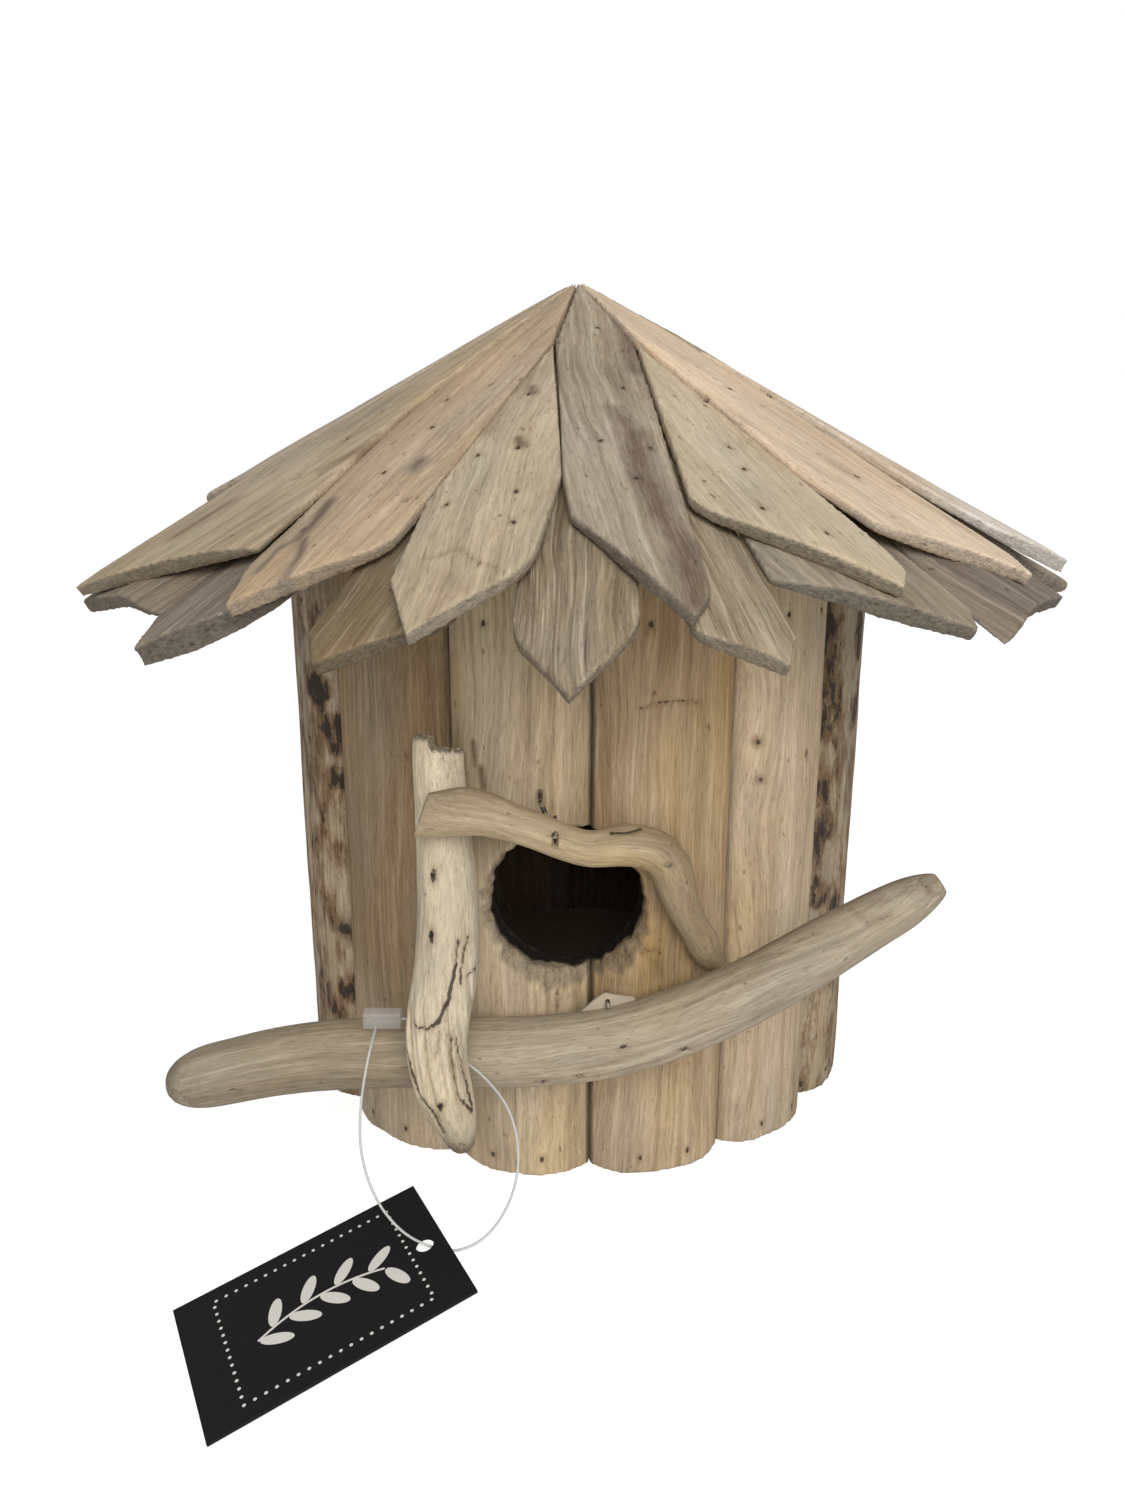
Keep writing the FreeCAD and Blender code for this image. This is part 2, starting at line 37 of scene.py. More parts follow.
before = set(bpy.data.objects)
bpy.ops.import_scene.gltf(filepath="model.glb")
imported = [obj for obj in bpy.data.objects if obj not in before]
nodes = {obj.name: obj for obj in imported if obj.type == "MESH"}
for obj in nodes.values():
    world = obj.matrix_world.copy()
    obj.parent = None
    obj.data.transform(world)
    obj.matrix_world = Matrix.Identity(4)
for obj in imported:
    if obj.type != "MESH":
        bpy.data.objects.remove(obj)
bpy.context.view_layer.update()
scene = bpy.context.scene
mm = 0.001
coarser = 1.0

# Sizes that the CAD record gives
entrance_across = -3.8
entrance_height = 81.5
entrance_radius = 20.0
stave_bulge = 8.4
loop_diameter = 0.65
stave_count = 14
board_count = 16
seen_boards = 7

# How far apart the points of a worn copy are: pieces that the photo shows, and those at the rear
holed_stave_fineness = 0.75
seen_stave_fineness = 0.9
rear_stave_fineness = 1.8
seen_board_fineness = 0.7
rear_board_fineness = 1.3

# The marks that a point of the wood carries, and where each branch starts in the grain's noise. The first
# mark is real stains, and painted shade on the stave's inside faces. The second is painted shade in pits,
# cracks, scars and grooves, and the own dark colour of knots.
stain_and_inside_shade_mark, hollow_shade_and_knot_mark, cut_mark, bark_mark = range(4)
perch_grain_start = 900.0
upright_grain_start = 1400.0
lintel_grain_start = 1900.0

# The card's print: its height above the card, and how flat it is pressed
print_lift = 0.03
print_flatness = 0.05

# The tag's loop, from its lock's front down through the card's hole and up behind the upright branch
loop_route = [
    (-52.0, -104.8, 54.8), (-52.0, -109.8, 54.5), (-53.0, -114.3, 49.7), (-54.3, -118.3, 41.0),
    (-54.0, -123.3, 31.3), (-50.2, -128.3, 22.3), (-44.0, -132.1, 16.2), (-37.5, -133.6, 12.9),
    (-30.0, -132.9, 10.2), (-22.3, -129.8, 12.5), (-16.6, -125.8, 20.5), (-15.0, -121.3, 30.0),
    (-17.6, -115.8, 38.5), (-24.0, -110.3, 44.0), (-30.5, -107.8, 47.8), (-36.6, -106.3, 52.4),
    (-40.8, -103.0, 56.1), (-45.7, -102.8, 56.2),
]

# Tones of the wood: red, green and blue, then how strongly it is streaked
wall_tones = {
    1: (0.27, 0.185, 0.10, 0.4), 2: (0.485, 0.37, 0.22, 0.5), 3: (0.365, 0.252, 0.128, 0.55),
    4: (0.51, 0.393, 0.25, 0.45), 5: (0.345, 0.275, 0.183, 0.5), 14: (0.385, 0.30, 0.20, 0.6),
}
rear_wall_tones = [
    (0.46, 0.36, 0.24, 0.55), (0.39, 0.30, 0.20, 0.6), (0.50, 0.40, 0.28, 0.45), (0.43, 0.35, 0.25, 0.7),
]
over_tones = [
    (0.415, 0.322, 0.206, 0.5), (0.435, 0.323, 0.205, 0.45), (0.425, 0.345, 0.238, 0.5),
    (0.336, 0.275, 0.198, 0.65), (0.485, 0.39, 0.258, 0.25), (0.65, 0.505, 0.35, 0.3),
    (0.67, 0.595, 0.51, 0.35),
]
rear_over_tones = [
    (0.38, 0.31, 0.22, 0.4), (0.44, 0.36, 0.265, 0.3), (0.34, 0.275, 0.195, 0.45),
]
# The under boards' tones are darker than the over boards', partly as painted shade beneath the over boards;
# the seventh most of all, as painted shade of the sixth over board
under_tones = [
    (0.22, 0.175, 0.125, 0.6), (0.22, 0.18, 0.136, 0.7), (0.198, 0.144, 0.081, 0.6),
    (0.29, 0.222, 0.138, 1.0), (0.325, 0.258, 0.175, 1.0), (0.27, 0.225, 0.163, 0.7),
    (0.20, 0.163, 0.125, 0.6),
]
rear_under_tones = [
    (0.27, 0.22, 0.155, 0.7), (0.23, 0.185, 0.135, 0.8), (0.30, 0.245, 0.18, 0.6),
]
perch_tone = (0.34, 0.277, 0.195, 0.5)
upright_tone = (0.50, 0.42, 0.297, 0.3)
lintel_tone = (0.40, 0.30, 0.168, 0.4)

# Stains on the over boards: a line of places, out from the axis and across the board,
# then its width and its strength
over_stains = {
    1: [([(49, 17), (71, 20), (97, 16)], 4.5, 0.6), ([(80, 7), (84, 6)], 4.0, 0.5),
        ([(112, -5), (126, -6)], 6.0, 0.7)],
    2: [([(108, -7), (117, -5), (122, -5)], 3.5, 0.9), ([(122, -5), (126, -8), (133, -7)], 2.5, 0.8),
        ([(122, -3), (128, 1), (135, 3), (140, 3)], 2.4, 0.8),
        ([(118, -10), (128, -13), (136, -12)], 5.0, 0.4),
        ([(92, 8), (95, 8)], 4.0, 0.9), ([(112, 21), (122, 21), (130, 18)], 4.0, 0.5)],
    3: [([(51, -2), (65, -5), (79, -8)], 9.0, 0.5), ([(60, -1), (62, 0)], 3.0, 1.0),
        ([(83, 1), (85, 2)], 3.0, 0.9), ([(133, -3), (136, 1)], 6.0, 0.35)],
    4: [([(20, 10), (38, 9.6), (50, 9)], 5.0, 0.8), ([(70, 0.6), (81, 3.5)], 5.0, 0.8),
        ([(81, 3.5), (94, 3), (111, 5.4), (122, 8), (139, 7)], 7.5, 1.0)],
    5: [([(63, 5), (66, 5)], 4.0, 0.4), ([(107, -8), (110, -7)], 4.0, 0.4)],
    6: [([(92, -10), (100, -10)], 5.0, 0.5), ([(112, 7), (124, 7)], 5.0, 0.5)],
}
# Ends that are thicker or, below zero, thinner than the rest of an under board
under_ends = {2: 2.6, 4: -1.9, 6: 0.8}
# How far an under board's right edge, or below zero its left one, hangs at the eave
under_droops = {1: 3.0, 7: -4.2}
# Tone of the upper part of an over board against its end
over_fades = {7: (0.95, 0.84, 0.69)}
# Change of an over board's tone where it is stained
over_stain_tints = {2: (-0.15, 0.0, 0.16)}
# Cut ends that are darker than the rest of their board
cut_shades = {"over": {1: 0.75, 5: 0.68, 4: 0.9}, "under": {2: 0.9, 6: 0.8}}
# A rear board whose end is drawn shorter, so that the front boards hide it
over_shorter = {16: 14.0}
# Grooves across the over boards
over_grooves = {3: [[(126, -8.7), (123, -3.4), (126, 0.6), (129, 6.5)]]}

# Marks on the wall: scars with their strength, knots with their size, stains and where dark bark is left
stave_scars = {
    2: [([(-8.5, 56.7), (-8.3, 50.5)], 0.85), ([(-5.9, 53.8), (-6.1, 51.1)], 0.8)],
    3: [([(14.7, 134.0), (19.7, 135.3), (26.0, 135.3), (29.7, 134.8)], 0.9),
        ([(16.1, 67.1), (17.2, 67.9), (21.4, 67.4), (22.3, 59.5)], 0.8),
        ([(17.2, 67.9), (19.7, 63.6), (19.7, 59.5)], 0.75)],
}
# How much paler or darker a stave is at its foot, in red, green and blue
stave_feet = {1: (0.7, 0.95, 1.5), 3: (0.14, 0.22, 0.44), 4: (-0.14, -0.14, -0.12)}
stave_knots = {4: [(47.7, -74.5, 121.4, 1.4), (48.6, -74.0, 111.0, 1.2)], 14: [(-70.9, -49.7, 56.9, 3.2)]}
stave_stains = {2: [([(-27.4, 124.5), (-27.2, 118.0)], 1.4), ([(-25.5, 117.5), (-24.9, 113.0)], 2.0)]}
# Each patch of bark: its place, its reach, how much taller than wide it is, and its strength (1 is black)
stave_bark = {
    5: [(72.9, -48.2, 142.1, 4.0, 2.0, 0.75), (73.6, -47.5, 127.5, 3.5, 3.0, 0.8),
        (74.4, -46.5, 106.4, 3.0, 2.0, 0.65), (70.7, -49.9, 145.7, 2.8, 4.0, 0.9),
        (71.4, -49.2, 128.6, 3.4, 4.5, 0.95), (70.9, -49.4, 101.3, 4.6, 2.0, 0.82),
        (70.7, -49.7, 84.9, 4.0, 2.2, 0.82), (72.9, -47.9, 89.4, 3.4, 1.8, 0.85),
        (79.2, -38.4, 144.1, 4.0, 2.5, 1.0), (79.9, -36.9, 121.5, 3.0, 2.0, 0.9),
        (71.9, -49.1, 68.1, 5.0, 1.2, 0.95), (77.0, -42.7, 61.8, 4.0, 1.2, 0.8)],
    14: [(-74.0, -47.0, 129.9, 4.6, 1.2, 0.95), (-70.9, -49.8, 118.7, 3.5, 1.6, 1.0),
         (-68.8, -50.5, 113.6, 3.0, 1.8, 1.0), (-69.4, -50.4, 105.0, 3.0, 1.6, 1.0),
         (-78.0, -40.8, 107.2, 7.0, 2.2, 0.65), (-71.4, -49.5, 90.2, 5.0, 2.5, 0.6),
         (-77.3, -42.0, 32.9, 7.0, 1.5, 0.65), (-70.1, -50.1, 37.0, 3.0, 1.8, 1.0)],
}
# Width of the torn band round the entrance, by the angle from the right in degrees
torn_angles = [0, 60, 120, 150, 180, 225, 270, 300, 330, 360]
torn_widths = [1.6, 1.0, 1.2, 2.2, 3.2, 4.0, 5.4, 5.0, 4.4, 1.6]

# Cracks in the branches, as seen from the front: places along X and heights, and how far each is open
upright_cracks = [
    ([(-30.0, 81.1), (-30.6, 75.9)], 0.86),
    ([(-30.6, 75.9), (-31.7, 70.2), (-33.7, 66.2), (-35.4, 64.4)], 1.0),
    ([(-35.4, 64.4), (-38.8, 63.8), (-39.7, 64.6)], 0.86),
    ([(-27.8, 81.3), (-28.6, 78.0), (-29.3, 74.6), (-29.1, 72.0)], 0.84),
    ([(-27.9, 73.1), (-26.1, 73.8), (-25.4, 72.0)], 0.84), ([(-33.6, 63.6), (-34.9, 56.9)], 0.76),
    ([(-30.2, 61.4), (-29.0, 52.6), (-27.1, 40.2)], 0.82), ([(-30.1, 46.0), (-27.1, 38.8)], 0.86),
    ([(-31.1, 63.0), (-30.9, 53.9)], 0.78),
    ([(-41.9, 56.9), (-39.4, 46.0), (-36.3, 41.3), (-33.9, 34.3)], 0.88),
]
lintel_cracks = [
    ([(7.2, 104.4), (11.4, 104.4), (15.2, 104.8)], 0.95), ([(15.4, 105.9), (17.4, 104.9)], 1.0),
]
perch_cracks = [
    ([(67.1, 85.5), (71.0, 83.1), (76.3, 84.9)], 0.72), ([(84.0, 92.9), (87.0, 90.0)], 0.75),
]
# How pale the branches are: places along X, or heights for the upright, and the shade at each. The
# upright's top is painted lighter against the roof's shadow. The lintel is painted lighter in its middle
# and darker on its right arm, as painted light and shade.
perch_shades = ((-100.0, -60.0, 0.0, 60.0, 95.0), (0.86, 0.9, 1.16, 0.93, 0.88))
upright_shades = ((29.0, 38.0, 46.0, 65.0, 80.0, 98.0, 122.0), (0.8, 1.1, 1.34, 1.22, 0.96, 1.0, 1.6))
lintel_shades = ((-30.0, -14.0, 6.0, 13.0, 25.0), (1.0, 1.1, 1.1, 1.0, 0.71))
# A place on the lintel's oblique cut, its height, and the cut's lean
lintel_end = (-38.3, 112.5, 0.36)
# How far the upright's broken top is lowered, by the place along X
upright_top = [(-44.0, 0.0), (-38.4, 0.0), (-37.4, 3.2), (-35.3, 3.3), (-29.3, 4.2), (-28.0, 6.0)]

# A flake of wood behind the perch, and two brads that are bent over
flake_outline = [
    (-1.0, 53.0), (0.7, 54.6), (3.6, 57.4), (6.4, 59.5), (9.0, 58.9), (14.3, 58.2), (15.0, 52.0),
    (4.0, 50.0),
]
flake_front = -95.2
flake_thickness = 1.6
bent_brad_radius = 0.6
flake_brad_route = [(7.0, -91.0, 57.4), (7.1, -96.0, 57.2), (7.3, -96.8, 56.2), (7.3, -96.9, 55.4)]
bent_brad_route = [(-10.3, -89.5, 112.8), (-10.3, -94.5, 111.6), (-9.4, -96.0, 110.2), (-8.8, -96.2, 108.7)]


# Camera
camera_data = bpy.data.cameras.new("camera")
camera_data.lens = 27.05
camera_data.sensor_width = 36.0
camera_data.clip_start = 0.01
camera = bpy.data.objects.new("camera", camera_data)
camera.location = (-0.00467, -0.36207, 0.19773)
camera.rotation_euler = (math.radians(74.77), 0.0, 0.0)
scene.collection.objects.link(camera)
scene.camera = camera


class Value:
    """One output of a node. Python's operators join such values with Math nodes."""

    def __init__(self, maker, socket):
        self.maker = maker
        self.socket = socket

    def math(self, operation, first, second):
        return self.maker.node("ShaderNodeMath", {"operation": operation}, {0: first, 1: second})[0]

    def __add__(self, other):
        return self.math("ADD", self, other)

    def __radd__(self, other):
        return self.math("ADD", other, self)

    def __sub__(self, other):
        return self.math("SUBTRACT", self, other)

    def __rsub__(self, other):
        return self.math("SUBTRACT", other, self)

    def __mul__(self, other):
        return self.math("MULTIPLY", self, other)

    def __rmul__(self, other):
        return self.math("MULTIPLY", other, self)

    def __truediv__(self, other):
        return self.math("DIVIDE", self, other)

    def __rtruediv__(self, other):
        return self.math("DIVIDE", other, self)

    def step(self, low, high):
        """0 below low, 1 above high and smooth between them."""
        inputs = {"Value": self, "From Min": low, "From Max": high}
        return self.maker.node("ShaderNodeMapRange", {"interpolation_type": "SMOOTHSTEP"}, inputs)[0]


class Maker:
    """Adds nodes to one tree."""

    def __init__(self, tree):
        self.tree = tree
        tree.nodes.clear()

    def node(self, kind, settings=None, inputs=None):
        """A node of that kind, its settings set first and then its inputs; returns its outputs."""
        made = self.tree.nodes.new(kind)
        for name, value in (settings or {}).items():
            setattr(made, name, value)
        for name, value in (inputs or {}).items():
            socket = self.socket(made, name)
            if isinstance(value, Value):
                self.tree.links.new(value.socket, socket)
            else:
                socket.default_value = value
        return [Value(self, output) for output in made.outputs if output.enabled]

    def socket(self, made, name):
        """The input of a node by its place or its name."""
        if isinstance(name, int):
            return made.inputs[name]
        return next(entry for entry in made.inputs if entry.name == name and entry.enabled)

    def noise(self, vector, scale, detail=2.0, roughness=0.5):
        """Noise on a vector that is stretched first."""
        stretched = self.node("ShaderNodeVectorMath", {"operation": "MULTIPLY"}, {0: vector, 1: scale})[0]
        inputs = {"Vector": stretched, "Scale": 1.0, "Detail": detail, "Roughness": roughness}
        return self.node("ShaderNodeTexNoise", {}, inputs)[0]

    def mix(self, factor, first, second, blend="MIX"):
        """Two colours mixed."""
        settings = {"data_type": "RGBA", "blend_type": blend, "clamp_factor": True}
        return self.node("ShaderNodeMix", settings, {"Factor": factor, "A": first, "B": second})[0]

    def vector(self, x=0.0, y=0.0, z=0.0):
        """A vector of three values."""
        return self.node("ShaderNodeCombineXYZ", {}, {0: x, 1: y, 2: z})[0]

    def retone(self, colour, value, saturation=1.0):
        """A colour made lighter or darker, and stronger or weaker."""
        inputs = {"Saturation": saturation, "Value": value, "Color": colour}
        return self.node("ShaderNodeHueSaturation", {}, inputs)[0]

    def bump(self, height, strength, distance):
        """A normal with that relief."""
        inputs = {"Strength": strength, "Distance": distance, "Height": height}
        return self.node("ShaderNodeBump", {}, inputs)[0]

    def surface(self, **inputs):
        """The Principled shader and the material's output."""
        named = {name.replace("_", " "): value for name, value in inputs.items()}
        shader = self.node("ShaderNodeBsdfPrincipled", {}, named)[0]
        self.node("ShaderNodeOutputMaterial", {}, {"Surface": shader})


def new_material(name):
    material = bpy.data.materials.new(name)
    material.use_nodes = True
    return material, Maker(material.node_tree)


def driftwood(name, roughness=0.8, relief=0.45):
    """Weathered wood. It reads a piece's grain, tone and marks, which are stored on its points."""
    material, make = new_material(name)
    straight = make.node("ShaderNodeAttribute", {"attribute_name": "grain"})[1]
    tone_parts = make.node("ShaderNodeAttribute", {"attribute_name": "tone"})
    mark_parts = make.node("ShaderNodeAttribute", {"attribute_name": "marks"})
    tone, streaky = tone_parts[0], tone_parts[3]
    stain, pit, cut = make.node("ShaderNodeSeparateColor", {}, {0: mark_parts[0]})
    bark = mark_parts[3]

    # The grain wanders a little from side to side
    bend = make.noise(straight, (0.03, 0.03, 0.011), 2.0) - 0.5
    sway = make.vector(bend * 14.0, bend * 5.0)
    grain = make.node("ShaderNodeVectorMath", {"operation": "ADD"}, {0: straight, 1: sway})[0]

    fibre = make.noise(grain, (1.6, 1.6, 0.08), 4.0, 0.65)
    streak = make.noise(grain, (0.28, 0.28, 0.009), 4.0, 0.6)
    line = make.noise(grain, (0.8, 0.8, 0.013), 3.0, 0.6)
    blotch = make.noise(straight, (0.05, 0.05, 0.022), 4.0, 0.6)
    grey = make.noise(straight, (0.06, 0.06, 0.014), 3.0, 0.55)
    fuzz = make.noise(straight, (0.6, 1.6, 0.35), 4.0, 0.7)
    pore = make.noise(grain, (2.2, 2.2, 0.3), 2.0, 0.6)
    speck = make.noise(straight, (0.42, 0.42, 0.2), 2.0, 0.6)
    mottle = make.noise(straight, (0.2, 0.2, 0.075), 5.0, 0.66)
    crust = make.noise(grain, (0.45, 0.45, 0.16), 5.0, 0.7)
    nick = make.noise(straight, (1.5, 1.5, 0.8), 2.0, 0.6)
    dash = make.noise(grain, (3.0, 3.0, 0.2), 2.0, 0.6)

    lines = (line - 0.5) * (streaky * streaky * 1.1 + 0.4)
    value = 1.02 + streaky * ((fibre - 0.5) * 0.7 + (streak - 0.5) * 0.8) + lines + (blotch - 0.5) * 0.75
    value = value + (dash - 0.5) * 0.7 + (fibre - 0.5) * 0.45
    saturation = 1.32 - grey * 0.72
    colour = make.retone(tone, value, saturation)
    dark_streak = (streak - fibre * 0.25).step(0.4, 0.26) * streaky * 0.5
    colour = make.mix(dark_streak, colour, (0.55, 0.45, 0.36, 1.0), "MULTIPLY")
    chalk = (line + (fibre - 0.5) * 0.5).step(0.53, 0.72) * streaky * 0.32
    colour = make.mix(chalk, colour, (0.60, 0.54, 0.45, 1.0))
    colour = make.mix(pore.step(0.57, 0.7) * 0.4, colour, (0.42, 0.34, 0.27, 1.0), "MULTIPLY")
    # The stain mark darkens real stains, and also gives painted shade on the staves' inside faces
    stained = (stain * (0.3 + mottle * 0.9 + (fibre - 0.5) * 1.4 + (streak - 0.5) * 0.8)).step(0.04, 0.8)
    colour = make.mix(stained, colour, (0.4, 0.325, 0.305, 1.0), "MULTIPLY")
    tuft = 0.55 + (fuzz - 0.5) * 1.0 + (nick - 0.5) * 0.9 + (crust - 0.5) * 0.6
    torn = make.retone(tone, tuft, 0.85)
    colour = make.mix(cut * 0.85, colour, torn)
    held = (bark * 5.0).step(0.0, 1.0)
    browned = (mottle + bark * 0.3).step(0.56, 0.76) * held
    colour = make.mix(browned * 0.8, colour, (0.4, 0.27, 0.17, 1.0), "MULTIPLY")
    blackened = (crust * 0.6 + mottle * 0.55 + bark * 0.3).step(0.79, 0.88) * held
    colour = make.mix(blackened * 0.92, colour, (0.03, 0.025, 0.02, 1.0))
    colour = make.mix(speck.step(0.69, 0.74) * 0.55, colour, (0.2, 0.15, 0.11, 1.0), "MULTIPLY")
    # Painted shade in pits, cracks, scars and grooves: darker over the second mark and near black where it
    # is strongest; on knots it is their own dark colour
    hollow_black_shade = (pit + (nick - 0.5) * 0.45 + (crust - 0.5) * 0.3).step(0.64, 0.8) * (pit * 8.0).step(0.0, 1.0)
    colour = make.mix(pit * 0.45, colour, (0.45, 0.36, 0.28, 1.0), "MULTIPLY")
    colour = make.mix(hollow_black_shade * 0.88, colour, (0.04, 0.03, 0.02, 1.0))

    height = fibre * 0.7 + streak * 0.5 + dash * 0.3 - pore * 0.3 + fuzz * (0.1 + cut * 0.6)
    normal = make.bump(height, strength=relief, distance=0.0009)
    make.surface(
        Base_Color=colour, Roughness=roughness - fibre * 0.1, Specular_IOR_Level=0.22, Normal=normal)
    return material


def plain_wood(name, colour):
    """Sawn wood of the pieces inside, which nobody sees the grain of."""
    material, make = new_material(name)
    place = make.node("ShaderNodeTexCoord")[3]
    figure = make.noise(place, (120.0, 900.0, 120.0), 3.0)
    toned = make.retone((*colour, 1.0), figure * 0.6 + 0.7)
    make.surface(Base_Color=toned, Roughness=0.85)
    return material


def dull_steel(name):
    """Brads gone dark, their heads half covered with wood dust."""
    material, make = new_material(name)
    place = make.node("ShaderNodeTexCoord")[3]
    tarnish = make.noise(place, (300.0, 300.0, 300.0), 2.0)
    dust = make.noise(place, (750.0, 750.0, 750.0), 2.0)
    colour = make.mix(tarnish.step(0.5, 0.8), (0.02, 0.017, 0.014, 1.0), (0.12, 0.115, 0.105, 1.0))
    colour = make.mix(dust.step(0.47, 0.56), colour, (0.29, 0.225, 0.15, 1.0))
    make.surface(Base_Color=colour, Roughness=0.65 - tarnish * 0.2, Metallic=0.4)
    return material


def black_card(name):
    """Matte black card with the faint tooth of uncoated stock."""
    material, make = new_material(name)
    place = make.node("ShaderNodeTexCoord")[3]
    tooth = make.noise(place, (1600.0, 1600.0, 1600.0), 2.0)
    normal = make.bump(tooth, strength=0.12, distance=0.0003)
    make.surface(
        Base_Color=(0.011, 0.011, 0.012, 1.0), Roughness=0.7, Specular_IOR_Level=0.18, Normal=normal)
    return material


def clear_plastic(name, grey, cover):
    """Clear plastic, which its edges and its gloss make greyish."""
    material, make = new_material(name)
    make.surface(Base_Color=(grey, grey * 0.98, grey * 0.95, 1.0), Roughness=0.2, Alpha=cover)
    return material


def plain_ink(name):
    """Pale ink."""
    material, make = new_material(name)
    make.surface(Base_Color=(0.72, 0.70, 0.64, 1.0), Roughness=0.7)
    return material


def node_group(name, inputs):
    """A new Geometry Nodes tree with named inputs; returns it, its maker and the inputs' values."""
    tree = bpy.data.node_groups.new(name, "GeometryNodeTree")
    make = Maker(tree)
    named = {"Geometry": "NodeSocketGeometry", **inputs}
    for label, kind in named.items():
        tree.interface.new_socket(label, in_out="INPUT", socket_type=kind)
    tree.interface.new_socket("Geometry", in_out="OUTPUT", socket_type="NodeSocketGeometry")
    return tree, make, dict(zip(named, make.node("NodeGroupInput")))


def end_group(make, geometry, material):
    """Real geometry with its material, as the tree's result."""
    real = make.node("GeometryNodeRealizeInstances", {}, {"Geometry": geometry})[0]
    finished = make.node("GeometryNodeSetMaterial", {}, {"Geometry": real, "Material": material})[0]
    make.node("NodeGroupOutput", {}, {"Geometry": finished})


def evaluated_mesh(piece):
    """A plain mesh of an object as its modifiers leave it."""
    graph = bpy.context.evaluated_depsgraph_get()
    return bpy.data.meshes.new_from_object(piece.evaluated_get(graph))


def shape(piece, tree, settings):
    """Gives an object the mesh that a Geometry Nodes tree makes of it."""
    modifier = piece.modifiers.new("shape", "NODES")
    modifier.node_group = tree
    for item in tree.interface.items_tree:
        if item.in_out == "INPUT" and item.name in settings:
            modifier[item.identifier] = settings[item.name]
    mesh = evaluated_mesh(piece)
    piece.modifiers.clear()
    piece.data = mesh


def weather_group():
    """Wood worn by water: slow swells, ridges along the grain, and torn places."""
    inputs = {
        "Swell": "NodeSocketFloat", "Swell Length": "NodeSocketFloat", "Ridge": "NodeSocketFloat",
        "Ridge Width": "NodeSocketFloat", "Torn": "NodeSocketFloat", "Wood": "NodeSocketMaterial",
    }
    tree, make, given = node_group("weather", inputs)
    stored = "GeometryNodeInputNamedAttribute"
    grain = make.node(stored, {"data_type": "FLOAT_VECTOR"}, {"Name": "grain"})[0]
    marks = make.node(stored, {"data_type": "FLOAT_COLOR"}, {"Name": "marks"})[0]
    cut = make.node("FunctionNodeSeparateColor", {}, {0: marks})[2]
    across, depth, along = make.node("ShaderNodeSeparateXYZ", {}, {0: grain})
    length, width = given["Swell Length"], given["Ridge Width"]
    swell_at = make.vector(across / length, depth / length, along / (length * 2.5))
    ridge_at = make.vector(across / width, depth / width, along * 0.02)
    swell = make.noise(swell_at, (1.0, 1.0, 1.0), 2.0) - 0.5
    ridge = make.noise(ridge_at, (1.0, 1.0, 1.0), 3.0, 0.6) - 0.5
    torn = make.noise(grain, (0.6, 0.6, 0.22), 4.0, 0.65) - 0.5
    lift = swell * given["Swell"] + ridge * given["Ridge"] + torn * given["Torn"] * cut
    normal = make.node("GeometryNodeInputNormal")[0]
    offset = make.node("ShaderNodeVectorMath", {"operation": "SCALE"}, {"Vector": normal, "Scale": lift})[0]
    moved = make.node("GeometryNodeSetPosition", {}, {"Geometry": given["Geometry"], "Offset": offset})[0]
    end_group(make, moved, given["Wood"])
    return tree


def millimetres(mesh):
    """The places of a mesh's points, one row a point."""
    flat = np.empty(len(mesh.vertices) * 3, dtype=np.float32)
    mesh.vertices.foreach_get("co", flat)
    return flat.reshape(-1, 3).astype(float) / mm


def point_normals(mesh):
    flat = np.empty(len(mesh.vertices) * 3, dtype=np.float32)
    mesh.vertices.foreach_get("normal", flat)
    return flat.reshape(-1, 3).astype(float)


def faces_towards(mesh, wanted):
    """The mean direction of the faces that look nearly the wanted way."""
    count = len(mesh.polygons)
    flat, area = np.empty(count * 3, dtype=np.float32), np.empty(count, dtype=np.float32)
    mesh.polygons.foreach_get("normal", flat)
    mesh.polygons.foreach_get("area", area)
    normal = flat.reshape(-1, 3).astype(float)
    facing = normal @ np.array(wanted) > 0.7
    mean = (normal[facing] * area[facing, None]).sum(axis=0)
    return mean / np.linalg.norm(mean)


def store(mesh, name, kind, field, values):
    attribute = mesh.attributes.new(name, kind, "POINT")
    attribute.data.foreach_set(field, np.ascontiguousarray(values, dtype=np.float32).ravel())


def merged_copy(node):
    """A CAD solid's mesh as one closed skin."""
    mesh = nodes[node].data.copy()
    skin = bmesh.new()
    skin.from_mesh(mesh)
    bmesh.ops.remove_doubles(skin, verts=skin.verts, dist=1e-6)
    skin.to_mesh(mesh)
    skin.free()
    return mesh


def smooth_step(values, low, high):
    t = np.clip((values - low) / (high - low), 0.0, 1.0)
    return t * t * (3.0 - 2.0 * t)


def ball(places, centre, reach):
    """1 in the middle of a soft ball and 0 at its rim."""
    away = np.linalg.norm(places - np.array(centre), axis=1) / reach
    return np.clip(1.0 - away ** 2, 0.0, 1.0)


def trail(first, second, route, width):
    """1 along a line of points and 0 at that distance from it."""
    nearest = np.full(len(first), 1e9)
    for (a, b), (c, d) in zip(route, route[1:]):
        run = (c - a) ** 2 + (d - b) ** 2
        t = np.clip(((first - a) * (c - a) + (second - b) * (d - b)) / run, 0.0, 1.0)
        nearest = np.minimum(nearest, np.hypot(first - a - t * (c - a), second - b - t * (d - b)))
    return np.clip(1.0 - nearest / width, 0.0, 1.0)


def ripple(values, seed, waves):
    """An uneven wave round zero, made of a few fixed ones."""
    rng = np.random.default_rng(seed)
    total = np.zeros_like(values)
    for wave in waves:
        total += np.sin(values * wave + rng.uniform(0.0, 6.28)) * rng.uniform(0.5, 1.0) / len(waves)
    return total


